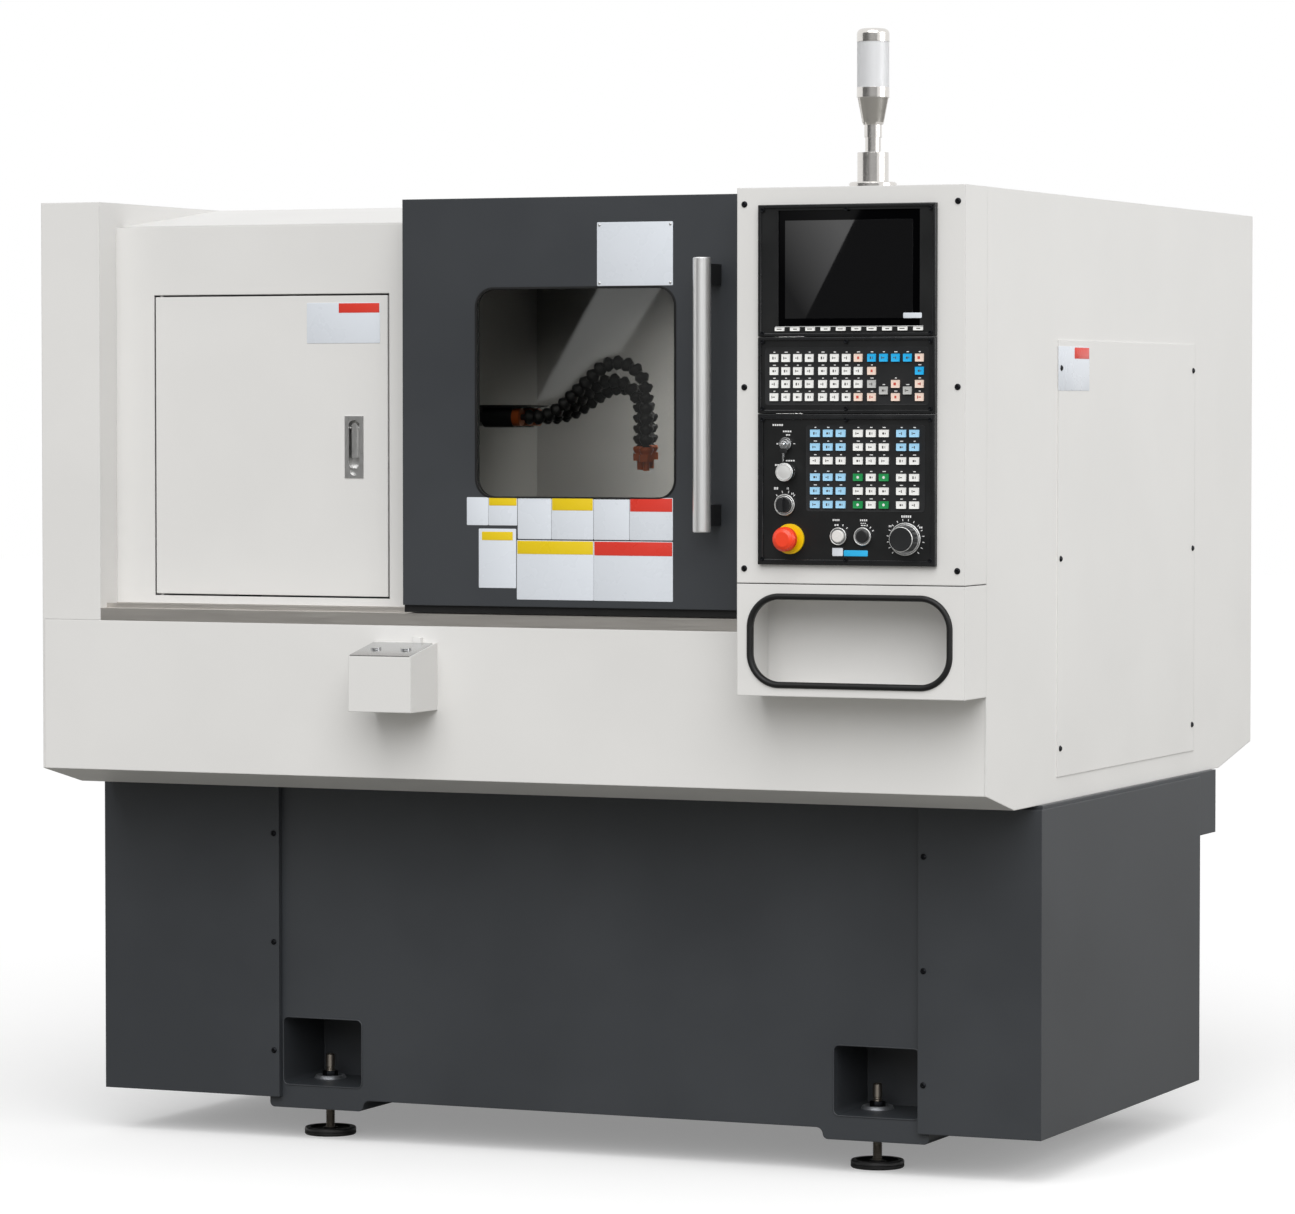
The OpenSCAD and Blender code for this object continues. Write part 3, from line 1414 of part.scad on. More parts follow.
module rotary_selector() color(black_plastic) from_apron() on_panel(selector_at) {
    knob_r = 12;
    knob_z0 = controls[2][3] + slide_gap;
    knob_h = 8;
    grip_w = 7;
    grip_h = 10;
    stem(controls[2][1], knob_z0 + cut);
    translate([0, 0, knob_z0]) cylinder(h = knob_h, r = knob_r);
    translate([-grip_w / 2, 1 - knob_r, knob_z0 + knob_h - cut])
        cube([grip_w, 2 * knob_r - 2, grip_h + cut]);
}

module flush_button(r) {
    out = 9;
    edge = 1;
    translate([0, 0, -stem_in]) rotate_extrude()
        polygon([[0, 0], [r, 0], [r, stem_in + out - edge], [r - edge, stem_in + out], [0, stem_in + out]]);
}

module white_push_button() color("#E4E4E2") from_apron() on_panel(white_at) flush_button(controls[3][1]);

module black_push_button() color(black_plastic) from_apron() on_panel(black_at) flush_button(controls[4][1]);

module feed_override_knob() color(black_plastic) from_apron() on_panel(knob_at) {
    knob_r = 20;
    knob_z0 = controls[5][3] + slide_gap;
    knob_h = 21;
    cap_h = 3;
    cap_inset = 2;
    groove_r = 2.5;
    groove_count = 16;
    stem(controls[5][1], knob_z0 + cut);
    translate([0, 0, knob_z0]) difference() {
        cylinder(h = knob_h - cap_h, r = knob_r);
        for (i = [0 : groove_count - 1]) rotate([0, 0, (i + 0.5) * 360 / groove_count])
            translate([knob_r + 1, 0, -cut]) cylinder(h = knob_h, r = groove_r);
    }
    translate([0, 0, knob_z0 + knob_h - cap_h - cut]) cylinder(h = cap_h + cut, r = knob_r - cap_inset);
}

base_frame();
base_side_covers();
levelling_feet();
cover_screws();
lower_apron();
left_end_cover();
right_end_cover();
side_access_panel();
front_panel();
roof_panel();
rear_panel();
door_rails();
service_box();
service_plate();
control_cabinet();
storage_box();
pocket_edge_trim();
screen_unit();
screen_glass();
keypad_panel();
operator_panel();
panel_keys();
emergency_stop_collar();
control_bezels();
lamp_post();
lamp_lens();
lamp_cap();
chamber_liner();
bed();
headstock();
spindle_motor();
drive_belt();
z_servo();
coolant_manifold();
coolant_hoses();
coolant_fittings();
sliding_door();
door_window();
door_seals();
door_handle_bar();
door_handle_brackets();
access_door();
latch_cup();
latch_lever();
spindle();
collet_chuck();
motor_pulley();
carriage();
x_servo();
z_ball_screw();
x_ball_screw();
tool_table();
tool_holders();
emergency_stop_button();
key_switch_key();
silver_push_button();
rotary_selector();
white_push_button();
black_push_button();
feed_override_knob();
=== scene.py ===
import math

import bpy
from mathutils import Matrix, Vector


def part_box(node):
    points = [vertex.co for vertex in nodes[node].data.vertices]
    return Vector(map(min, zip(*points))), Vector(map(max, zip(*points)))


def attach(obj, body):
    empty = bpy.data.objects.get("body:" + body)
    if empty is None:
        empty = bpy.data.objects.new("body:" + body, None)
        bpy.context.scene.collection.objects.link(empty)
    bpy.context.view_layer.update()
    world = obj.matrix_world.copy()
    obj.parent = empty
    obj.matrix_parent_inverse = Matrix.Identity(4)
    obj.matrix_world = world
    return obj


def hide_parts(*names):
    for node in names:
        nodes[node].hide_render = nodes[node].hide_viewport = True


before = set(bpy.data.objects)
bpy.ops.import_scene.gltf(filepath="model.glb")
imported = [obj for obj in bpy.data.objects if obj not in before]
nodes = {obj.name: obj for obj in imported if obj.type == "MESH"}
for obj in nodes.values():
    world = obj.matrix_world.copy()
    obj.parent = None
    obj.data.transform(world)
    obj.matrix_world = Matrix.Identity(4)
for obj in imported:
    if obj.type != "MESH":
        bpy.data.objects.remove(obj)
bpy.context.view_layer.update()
scene = bpy.context.scene
scene.view_settings.view_transform = "Standard"

# Places are given in millimetres: X from the machine's middle, Y from the apron's front, Z from the floor
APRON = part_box("lower_apron")[0].y


def spot(x, y, z):
    return Vector((x / 1000, APRON + y / 1000, z / 1000))


# ---------------------------------------------------------------- camera

# Solved from the machine's straight edges in the photograph
CAMERA_PLACE = (3.69132, -8.54202, 1.27282)
LOOKS_DOWN, LOOKS_LEFT = 2.17, 23.41
bpy.ops.object.camera_add(
    location=CAMERA_PLACE, rotation=(math.radians(90 - LOOKS_DOWN), 0, math.radians(LOOKS_LEFT)),
)
camera = bpy.context.object
camera.data.sensor_fit = "HORIZONTAL"
camera.data.sensor_width = 36
camera.data.lens = 147.07
scene.camera = camera


# ---------------------------------------------------------------- materials

def colour(hex_code):
    """sRGB hex to linear RGBA."""
    parts = [int(hex_code[i:i + 2], 16) / 255 for i in (1, 3, 5)]
    return [p / 12.92 if p <= 0.04045 else ((p + 0.055) / 1.055) ** 2.4 for p in parts] + [1]


def add(tree, kind, inputs=None, **settings):
    """Adds a node. An input is a plain value or the output socket that feeds it."""
    made = tree.nodes.new(kind)
    for name, value in settings.items():
        setattr(made, name, value)
    for name, value in (inputs or {}).items():
        if isinstance(value, bpy.types.NodeSocket):
            tree.links.new(value, made.inputs[name])
        else:
            made.inputs[name].default_value = value
    return made


def blank(name):
    made = bpy.data.materials.new(name)
    made.use_nodes = True
    made.node_tree.nodes.clear()
    return made, made.node_tree


def powder_coat(name, dark, light, roughness, peel_mm, peel_depth):
    """Polyester powder sprayed on sheet steel and baked: a satin film with orange peel, slow tone drift
    where the film is thicker, and a soft catch of light along every folded edge."""
    made, tree = blank(name)
    place = add(tree, "ShaderNodeTexCoord").outputs["Object"]
    peel = add(tree, "ShaderNodeTexNoise", {"Vector": place, "Scale": 1000 / peel_mm, "Detail": 2})
    drift = add(tree, "ShaderNodeTexNoise", {"Vector": place, "Scale": 1000 / 260, "Detail": 3})
    tone = add(tree, "ShaderNodeValToRGB", {"Fac": drift.outputs[0]})
    tone.color_ramp.elements[0].position = 0.35
    tone.color_ramp.elements[0].color = colour(dark)
    tone.color_ramp.elements[1].position = 0.65
    tone.color_ramp.elements[1].color = colour(light)
    gloss = add(tree, "ShaderNodeMapRange", {
        "Value": drift.outputs[0], "From Min": 0.3, "From Max": 0.7,
        "To Min": roughness - 0.02, "To Max": roughness + 0.02,
    })
    fold = add(tree, "ShaderNodeBevel", {"Radius": 0.0025}, samples=4)
    film = add(tree, "ShaderNodeBump", {
        "Height": peel.outputs[0], "Normal": fold.outputs[0], "Strength": 0.5, "Distance": peel_depth / 1000,
    })
    skin = add(tree, "ShaderNodeBsdfPrincipled", {
        "Base Color": tone.outputs[0], "Roughness": gloss.outputs[0], "IOR": 1.5, "Normal": film.outputs[0],
    })
    add(tree, "ShaderNodeOutputMaterial", {"Surface": skin.outputs[0]})
    return made


def moulded(name, hex_code, roughness, grain_mm=1.2, grain_depth=0.05, ior=1.5):
    """Moulded plastic or rubber: one colour through and through, with the fine spark grain of the mould and
    small rounded edges."""
    made, tree = blank(name)
    place = add(tree, "ShaderNodeTexCoord").outputs["Object"]
    grain = add(tree, "ShaderNodeTexNoise", {"Vector": place, "Scale": 1000 / grain_mm, "Detail": 2})
    worn = add(tree, "ShaderNodeTexNoise", {"Vector": place, "Scale": 1000 / 35, "Detail": 3})
    gloss = add(tree, "ShaderNodeMapRange", {
        "Value": worn.outputs[0], "From Min": 0.3, "From Max": 0.7,
        "To Min": roughness - 0.06, "To Max": roughness + 0.06,
    })
    edge = add(tree, "ShaderNodeBevel", {"Radius": 0.0006}, samples=4)
    skin_grain = add(tree, "ShaderNodeBump", {
        "Height": grain.outputs[0], "Normal": edge.outputs[0], "Strength": 0.4, "Distance": grain_depth / 1000,
    })
    skin = add(tree, "ShaderNodeBsdfPrincipled", {
        "Base Color": colour(hex_code), "Roughness": gloss.outputs[0], "IOR": ior, "Normal": skin_grain.outputs[0],
    })
    add(tree, "ShaderNodeOutputMaterial", {"Surface": skin.outputs[0]})
    return made


def drawn_metal(name, hex_code, roughness, stretch, line_depth=0.02, edge_mm=0.8):
    """Bare metal with the lines of its last working step, brushed along a sheet, drawn along a tube or turned
    round a shaft: stretch is the size of a line in mm along X, Y and Z."""
    made, tree = blank(name)
    place = add(tree, "ShaderNodeTexCoord").outputs["Object"]
    along = add(tree, "ShaderNodeMapping", {"Vector": place, "Scale": [1000 / s for s in stretch]})
    lines = add(tree, "ShaderNodeTexNoise", {"Vector": along.outputs[0], "Scale": 1, "Detail": 3})
    gloss = add(tree, "ShaderNodeMapRange", {
        "Value": lines.outputs[0], "From Min": 0.25, "From Max": 0.75,
        "To Min": roughness - 0.08, "To Max": roughness + 0.08,
    })
    edge = add(tree, "ShaderNodeBevel", {"Radius": edge_mm / 1000}, samples=4)
    scratch = add(tree, "ShaderNodeBump", {
        "Height": lines.outputs[0], "Normal": edge.outputs[0], "Strength": 0.35, "Distance": line_depth / 1000,
    })
    skin = add(tree, "ShaderNodeBsdfPrincipled", {
        "Base Color": colour(hex_code), "Metallic": 1, "Roughness": gloss.outputs[0], "Normal": scratch.outputs[0],
    })
    add(tree, "ShaderNodeOutputMaterial", {"Surface": skin.outputs[0]})
    return made


# Powder coat on sheet steel: an even satin skin, warm white on the enclosure and nearly black on base and door
white_coat = powder_coat("powder_coated_steel_white", "#DEDDDB", "#E1E0DE", 0.40, 3.5, 0.10)
charcoal_coat = powder_coat("powder_coated_steel_charcoal", "#323539", "#373A3E", 0.42, 3.0, 0.16)
# Sprayed enamel, a little glossier and flatter than powder
motor_enamel = powder_coat("sprayed_enamel_motor_grey", "#45494F", "#4B4F55", 0.35, 3.0, 0.08)
# Galvanised sheet dulled by coolant: a soft grey whose tone drifts slowly, as the coats' does
liner_steel = powder_coat("galvanised_sheet_splash_guard", "#898885", "#949390", 0.34, 4.0, 0.05)
# Stainless steel: fine lines along the sill and the tube soften its light, and polish sharpens it on the plate
sill_steel = drawn_metal("stainless_sheet_brushed_along", "#CFCBC6", 0.38, (90, 0.8, 0.8))
handle_tube = drawn_metal("stainless_tube_satin_drawn", "#ECECEC", 0.40, (0.9, 0.9, 160))
plate_steel = drawn_metal("stainless_sheet_polished", "#C9CACB", 0.18, (60, 0.8, 0.8))
# Turned aluminium: bright, with rings round the lamp's post
lamp_metal = drawn_metal("aluminium_turned_bright", "#DEDBD7", 0.18, (60, 60, 0.7))
# Satin chrome on zinc castings is dull and pale; bright chrome on the brass rings mirrors light and dark
zinc_plated = drawn_metal("zinc_casting_satin_chrome", "#D2D2D1", 0.34, (0.9, 0.9, 12))
bezel_chrome = drawn_metal("brass_ring_chrome_plated", "#DDDEDF", 0.14, (3, 3, 3), 0.005, 0.6)
# Ground shafts shine in rings, milled iron is dull and grey, and black oxide leaves steel dark and half matt
ground_steel = drawn_metal("steel_ground_shaft", "#B7BABD", 0.22, (0.6, 40, 40))
cast_iron = drawn_metal("cast_iron_milled", "#7B7E81", 0.46, (30, 1.5, 1.5), 0.05)
tool_steel = drawn_metal("tool_steel_black_oxide", "#3A3C40", 0.42, (8, 1, 1))
screw_black = drawn_metal("steel_screw_black_oxide", "#26272A", 0.38, (1.2, 1.2, 1.2))
# Moulded and extruded plastics and rubber: solid colour, half matt where grained, glossier on the buttons
black_abs = moulded("abs_moulded_black", "#17181A", 0.42)
panel_abs = moulded("abs_panel_black_sheet", "#0F1011", 0.42, 2.0, 0.06, 1.42)
key_white = moulded("abs_key_white", "#F3F3F1", 0.40, 0.9, 0.02)
rubber_black = moulded("rubber_extruded_black", "#0B0B0C", 0.50, 1.6, 0.05, 1.42)
belt_rubber = moulded("rubber_belt_ribbed", "#1A1A1B", 0.62, 1.6, 0.08)
hose_acetal = moulded("acetal_hose_black", "#131415", 0.50)
orange_acetal = moulded("acetal_nozzle_orange", "#B4521C", 0.38)
red_abs = moulded("abs_button_red", "#F4421F", 0.30, 1.0, 0.01)
yellow_abs = moulded("abs_collar_yellow", "#F2CC02", 0.32, 1.0, 0.01)
white_abs = moulded("abs_button_white", "#E3E1DE", 0.32, 1.0, 0.01)

# Toughened glass, thin and clear: the chamber shows through it and the surroundings lie over it as a faint mirror
window_glass, tree = blank("toughened_glass_clear")
mirror = add(tree, "ShaderNodeBsdfGlossy", {"Color": colour("#F4F6F6"), "Roughness": 0.02})
through = add(tree, "ShaderNodeBsdfTransparent", {"Color": colour("#ECECEA")})
facing = add(tree, "ShaderNodeFresnel", {"IOR": 1.5})
pane = add(tree, "ShaderNodeMixShader", {0: facing.outputs[0], 1: through.outputs[0], 2: mirror.outputs[0]})
add(tree, "ShaderNodeOutputMaterial", {"Surface": pane.outputs[0]})

# Cover glass with an anti-glare coat over a dark mask: nearly black, with a weak but clean gloss
screen_glass, tree = blank("cover_glass_over_display")
place = add(tree, "ShaderNodeTexCoord").outputs["Object"]
wiped = add(tree, "ShaderNodeTexNoise", {"Vector": place, "Scale": 1000 / 45, "Detail": 4})
gloss = add(tree, "ShaderNodeMapRange", {"Value": wiped.outputs[0], "To Min": 0.015, "To Max": 0.04})
skin = add(tree, "ShaderNodeBsdfPrincipled", {
    "Base Color": colour("#040405"), "Roughness": gloss.outputs[0], "IOR": 1.13,
})
add(tree, "ShaderNodeOutputMaterial", {"Surface": skin.outputs[0]})

# Frosted polycarbonate tube: milky, lit through from behind, soft gloss
lamp_frost, tree = blank("polycarbonate_tube_frosted")
place = add(tree, "ShaderNodeTexCoord").outputs["Object"]
along = add(tree, "ShaderNodeMapping", {"Vector": place, "Scale": (1000 / 5, 1000 / 5, 1000 / 200)})
ribs = add(tree, "ShaderNodeTexNoise", {"Vector": along.outputs[0], "Scale": 1, "Detail": 1})
ripple = add(tree, "ShaderNodeBump", {"Height": ribs.outputs[0], "Strength": 0.3, "Distance": 0.0003})
skin = add(tree, "ShaderNodeBsdfPrincipled", {
    "Base Color": colour("#EFF0F2"), "Roughness": 0.35, "IOR": 1.58, "Transmission Weight": 0.3,
    "Normal": ripple.outputs[0],
})
add(tree, "ShaderNodeOutputMaterial", {"Surface": skin.outputs[0]})

finishes = {
    white_coat: (
        "lower_apron", "left_end_cover", "right_end_cover", "side_access_panel", "front_panel", "roof_panel",
        "rear_panel", "service_box", "control_cabinet", "storage_box", "access_door",
    ),
    charcoal_coat: ("base_frame", "base_side_covers", "sliding_door"),
    motor_enamel: ("spindle_motor",),
    liner_steel: ("chamber_liner",),
    sill_steel: ("door_rails",),
    handle_tube: ("door_handle_bar",),
    plate_steel: ("service_plate",),
    lamp_metal: ("lamp_post", "lamp_cap"),
    lamp_frost: ("lamp_lens",),
    zinc_plated: ("latch_cup", "latch_lever"),
    bezel_chrome: ("control_bezels", "key_switch_key", "silver_push_button"),
    ground_steel: ("spindle", "collet_chuck", "motor_pulley", "z_ball_screw", "x_ball_screw"),
    cast_iron: ("bed", "headstock", "carriage", "tool_table"),
    tool_steel: ("tool_holders",),
    screw_black: ("cover_screws", "levelling_feet"),
    black_abs: (
        "door_handle_brackets", "rotary_selector", "black_push_button", "feed_override_knob", "z_servo", "x_servo",
        "coolant_manifold",
    ),
    panel_abs: ("screen_unit", "keypad_panel", "operator_panel"),
    key_white: ("panel_keys",),
    rubber_black: ("pocket_edge_trim", "door_seals"),
    belt_rubber: ("drive_belt",),
    hose_acetal: ("coolant_hoses",),
    orange_acetal: ("coolant_fittings",),
    window_glass: ("door_window",),
    screen_glass: ("screen_glass",),
    red_abs: ("emergency_stop_button",),
    yellow_abs: ("emergency_stop_collar",),
    white_abs: ("white_push_button",),
}
for finish, names in finishes.items():
    for name in names:
        nodes[name].data.materials.clear()
        nodes[name].data.materials.append(finish)


# ---------------------------------------------------------------- modelling by hand

SMOOTH_UP_TO = 40  # degrees between two faces, past which an edge stays sharp


def block(x, y, z):
    """Adds a cuboid between two X, two Y and two Z values."""
    low, high = spot(x[0], y[0], z[0]), spot(x[1], y[1], z[1])
    bpy.ops.object.select_all(action="DESELECT")
    bpy.ops.mesh.primitive_cube_add(size=1, location=(low + high) / 2, scale=high - low)
    bpy.ops.object.transform_apply(location=True, rotation=True, scale=True)
    return bpy.context.object


def disc(x, y, z, r, depth, front=False, sides=48):
    """Adds a round that starts at the given place and goes up, or to the front, by its depth."""
    middle = spot(x, y, z) + (Vector((0, -depth, 0)) if front else Vector((0, 0, depth))) / 2000
    bpy.ops.object.select_all(action="DESELECT")
    bpy.ops.mesh.primitive_cylinder_add(
        vertices=sides, radius=r / 1000, depth=depth / 1000, location=middle,
        rotation=(math.pi / 2, 0, 0) if front else (0, 0, 0),
    )
    bpy.ops.object.transform_apply(location=True, rotation=True, scale=True)
    return bpy.context.object


def pick(piece, test, edges=False):
    """Goes into edit mode with the faces whose middle and normal pass the test, or the edges whose middle and
    direction do."""
    bpy.ops.object.mode_set(mode="EDIT")
    bpy.ops.mesh.select_mode(type="EDGE" if edges else "FACE")
    bpy.ops.mesh.select_all(action="DESELECT")
    bpy.ops.object.mode_set(mode="OBJECT")
    mesh = piece.data
    if edges:
        for e in mesh.edges:
            a, b = (mesh.vertices[i].co for i in e.vertices)
            e.select = bool(test((a + b) / 2, (b - a).normalized()))
    else:
        for f in mesh.polygons:
            f.select = bool(test(f.center, f.normal))
    bpy.ops.object.mode_set(mode="EDIT")


def soften(piece, width, segments=2):
    """Rounds every edge of a piece."""
    bpy.ops.object.mode_set(mode="EDIT")
    bpy.ops.mesh.select_mode(type="EDGE")
    bpy.ops.mesh.select_all(action="SELECT")
    bpy.ops.mesh.bevel(offset=width / 1000, segments=segments, affect="EDGES")
    bpy.ops.object.mode_set(mode="OBJECT")
    return piece


def round_corners(piece, radius, segments, axis=1):
    """Rounds the edges of a piece that run along an axis, Y unless another is named."""
    pick(piece, lambda at, way: abs(way[axis]) > 0.9, edges=True)
    bpy.ops.mesh.bevel(offset=radius / 1000, segments=segments, affect="EDGES")
    bpy.ops.object.mode_set(mode="OBJECT")
    return piece


def dish(piece, margin, push, front=True):
    """Insets a piece's front face, or its right one, by a margin and pushes it in, or out if push is negative."""
    pick(piece, lambda at, way: (-way.y if front else way.x) > 0.9)
    bpy.ops.mesh.inset(thickness=margin / 1000)
    bpy.ops.transform.translate(value=(0, push / 1000, 0) if front else (-push / 1000, 0, 0))
    bpy.ops.object.mode_set(mode="OBJECT")
    return piece


def repeat(master, moves, turns=None, about=None):
    """Copies a piece to each move, in mm, or round a front-facing axis by each turn, and joins the copies."""
    made = []
    for i in range(len(moves or turns)):
        copy = master.copy()
        copy.data = master.data.copy()
        scene.collection.objects.link(copy)
        if turns:
            centre = spot(*about)
            copy.rotation_euler = (0, math.radians(turns[i]), 0)
            copy.location = centre - copy.rotation_euler.to_matrix() @ centre
        else:
            copy.location = Vector(moves[i]) / 1000
        made.append(copy)
    bpy.data.objects.remove(master)
    return join(made)


def join(pieces):
    """Makes one piece of several."""
    bpy.ops.object.select_all(action="DESELECT")
    for piece in pieces:
        piece.select_set(True)
    bpy.context.view_layer.objects.active = pieces[0]
    bpy.ops.object.transform_apply(location=True, rotation=True, scale=True)
    if len(pieces) > 1:
        bpy.ops.object.join()
    return bpy.context.object


def settle(piece, name, finish, body):
    """Merges doubles, turns the faces outwards, and hands the piece to its body with its finish."""
    bpy.ops.object.select_all(action="DESELECT")
    piece.select_set(True)
    bpy.context.view_layer.objects.active = piece
    piece.name = name
    bpy.ops.object.mode_set(mode="EDIT")
    bpy.ops.mesh.select_all(action="SELECT")
    bpy.ops.mesh.remove_doubles(threshold=1e-6)
    bpy.ops.mesh.normals_make_consistent(inside=False)
    bpy.ops.object.mode_set(mode="OBJECT")
    bpy.ops.object.shade_smooth_by_angle(angle=math.radians(SMOOTH_UP_TO))
    piece.data.materials.clear()
    piece.data.materials.append(finish)
    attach(piece, body)
    return piece


# ---------------------------------------------------------------- console keys

# The console units' left edge and front, and the lower edge of each
UNIT_X, FACE_Y = 510.5, -108
OPERATOR_Z, KEYPAD_Z, SCREEN_Z = 1022, 1262.5, 1384
KEY_STAND = 3.5
KEY_STEP, KEY_DROP, KEY_GROUP_GAP = 20.05, 20.6, 2.6
WIDE_STEP, WIDE_DROP, WIDE_GROUP_GAP, WIDE_BLOCK_GAP = 21.8, 21.6, 7.4, 4.5
SOFT_STEP = 26


def key_cap(w, h):
    """A key with a dished top and rounded edges, at X = 0 and Z = 0 on the console's face."""
    cap = block((-w / 2, w / 2), (FACE_Y - KEY_STAND, FACE_Y), (-h / 2, h / 2))
    return soften(dish(cap, 1.3, 0.5), 0.45)


# Where each tint's keys stand, what is drawn on each key, and what is drawn above it
keys = {"white": [], "cyan": [], "blush": [], "grey": [], "blue": [], "green": []}
dashes, marks = [], []
for col in range(13):
    for row in range(4):
        sparse = col in (9, 11)
        if row and (row != 2 if sparse else row == 1 and col == 10):
            continue
        drop = 2.5 if sparse and row == 2 else row
        x = UNIT_X + 27.5 + col * KEY_STEP + min(col, 11) // 4 * KEY_GROUP_GAP
        z = KEYPAD_Z + 87 - drop * KEY_DROP
        tint = "white"
        if col > 7:
            tint = {0: "cyan", 1: "blush", 2: "grey", 3: "blush"}[row]
            if col == 12:
                tint = "cyan" if row == 1 else "blush"
            if col == 10 and row > 1:
                tint = "blush"
        elif col == 7 and row in (0, 3):
            tint = "blush"
        keys[tint].append(("key", x, z))
        marks.append((x, z, tint, (col * 5 + row * 3) % 4))
        dashes.append((x, z + 9.3, (col + row) % 3))
for col in range(8):
    for row in range(6):
        x = UNIT_X + 97.5 + col * WIDE_STEP + col // 3 * WIDE_GROUP_GAP
        z = OPERATOR_Z + 208.5 - row * WIDE_DROP - row // 3 * WIDE_BLOCK_GAP
        tint = "white"
        if (col < 3 and row != 2) or (col > 5 and row < 2):
            tint = "blue"
        elif col in (3, 5) and row in (3, 5):
            tint = "green"
        keys[tint].append(("wide", x, z))
        marks.append((x, z, tint, (col * 3 + row * 5) % 4))
        dashes.append((x, z + 9.4, (col * 2 + row) % 3))
for i in range(10):
    x, z = UNIT_X + 37 + i * SOFT_STEP, SCREEN_Z + 11.2
    keys["white"].append(("soft", x, z))
    marks.append((x, z, "soft", i % 2))

tints = {
    "white": key_white,
    "cyan": moulded("abs_key_cyan", "#0EB0EE", 0.40, 0.9, 0.02),
    "blush": moulded("abs_key_blush", "#F3DACB", 0.40, 0.9, 0.02),
    "grey": moulded("abs_key_grey", "#BDBDBB", 0.40, 0.9, 0.02),
    "blue": moulded("abs_key_pale_blue", "#A4D8F8", 0.40, 0.9, 0.02),
    "green": moulded("abs_key_green", "#11914B", 0.40, 0.9, 0.02),
}
sizes = {"key": (14.2, 12.4), "wide": (16.2, 11.6), "soft": (16, 6)}
for tint, places in keys.items():
    groups = []
    for kind, size in sizes.items():
        moves = [(x, 0, z) for k, x, z in places if k == kind]
        if moves:
            groups.append(repeat(key_cap(*size), moves))
    caps = settle(join(groups), "keys_" + tint, tints[tint], "machine")
    if tint == "white":
        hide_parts("panel_keys")

# Plain strokes stand for the print on the keys, and plain dashes for the print above them: thin, flat, matt ink
print_dark = moulded("screen_print_dark", "#4A4744", 0.5, 1.0, 0.0)
print_white = moulded("screen_print_white", "#E6E6E6", 0.5, 1.0, 0.0)
print_red = moulded("screen_print_red", "#CF4B3A", 0.5, 1.0, 0.0)


def stroke(w, h, y):
    """A flat bar of print with its front at y."""
    return soften(block((-w / 2, w / 2), (y, y + 0.2), (-h / 2, h / 2)), 0.06, 1)


def strokes(bars):
    """The bars on the key tops: for keys of some tints and one kind of mark, a size and a step to the right."""
    return join([
        repeat(stroke(w, h, FACE_Y - 3.12), [(x + dx, 0, z) for x, z, tint, k in marks if tint in tones and k == kind])
        for tones, kind, w, h, dx in bars
    ])


LIGHT_KEYS = ("white", "grey", "blue", "cyan")
settle(strokes([
    (LIGHT_KEYS, 0, 2.4, 4.2, -1.5), (LIGHT_KEYS, 1, 3.8, 1.5, 0), (LIGHT_KEYS, 2, 1.5, 4.2, 0.8),
    (LIGHT_KEYS, 3, 3.2, 3.2, -0.6), (LIGHT_KEYS, 0, 1.2, 3.4, 2.2), (LIGHT_KEYS, 1, 1.3, 4.0, -3.2),
    (LIGHT_KEYS, 2, 2.8, 1.3, -2.2), (LIGHT_KEYS, 3, 1.2, 2.8, 2.8),
    (("soft",), 0, 8.5, 1.4, -0.5), (("soft",), 1, 6.5, 1.6, 0.8),
]), "key_strokes", print_dark, "machine")
settle(strokes([
    (("blush",), kind, w, h, dx)
    for kind, w, h, dx in (
        (0, 4.2, 4.4, -0.8), (1, 1.6, 4.6, -2.4), (1, 3.6, 1.6, 1.0), (2, 4.6, 1.8, 0), (2, 1.5, 4.4, 1.8),
        (3, 3.4, 4.2, 0.4),
    )
]), "key_strokes_red", print_red, "machine")
key_spot = soften(disc(0, FACE_Y - 2.9, 0, 2.2, 0.25, front=True, sides=20), 0.07, 1)
settle(
    repeat(key_spot, [(x, 0, z) for x, z, tint, k in marks if tint == "green"]),
    "key_spots", print_white, "machine",
)
groups = [
    repeat(stroke(w, 1.5, FACE_Y - 0.4), [(x, 0, z) for x, z, k in dashes if k == kind])
    for kind, w in ((0, 3.2), (1, 5.4), (2, 4.2))
]
settle(join(groups), "console_dashes", print_white, "machine")

# Raised field round each group of keys, with rounded corners: a film a shade paler than the panel
fields = [
    dish(round_corners(block(x, (FACE_Y - 0.5, FACE_Y + 0.5), z), 6, 5), 1.2, 0.3)
    for x, z in (((592, 793), (1107, 1244)), ((522, 799), (1275, 1366.5)))
]
field_film = moulded("polyester_keypad_film", "#17181A", 0.46, 2.0, 0.04, 1.45)
settle(join(fields), "key_fields", field_film, "machine")


def rail(x, y, z, w, edge, corner=0):
    """A frame w wide round an opening: a block, its middle taken out and its edges and corners rounded."""
    made = block(x, y, z)
    if corner:
        round_corners(made, corner, 5)
    pick(made, lambda at, way: abs(way.y) > 0.9)
    bpy.ops.mesh.inset(thickness=w / 1000)
    bpy.ops.mesh.delete(type="FACE")
    bpy.ops.mesh.select_mode(type="EDGE")
    bpy.ops.mesh.select_non_manifold()
    bpy.ops.mesh.bridge_edge_loops()
    bpy.ops.mesh.select_all(action="DESELECT")
    bpy.ops.mesh.edges_select_sharp(sharpness=math.radians(60))
    bpy.ops.mesh.bevel(offset=edge / 1000, segments=3, affect="EDGES")
    bpy.ops.object.mode_set(mode="OBJECT")
    return made


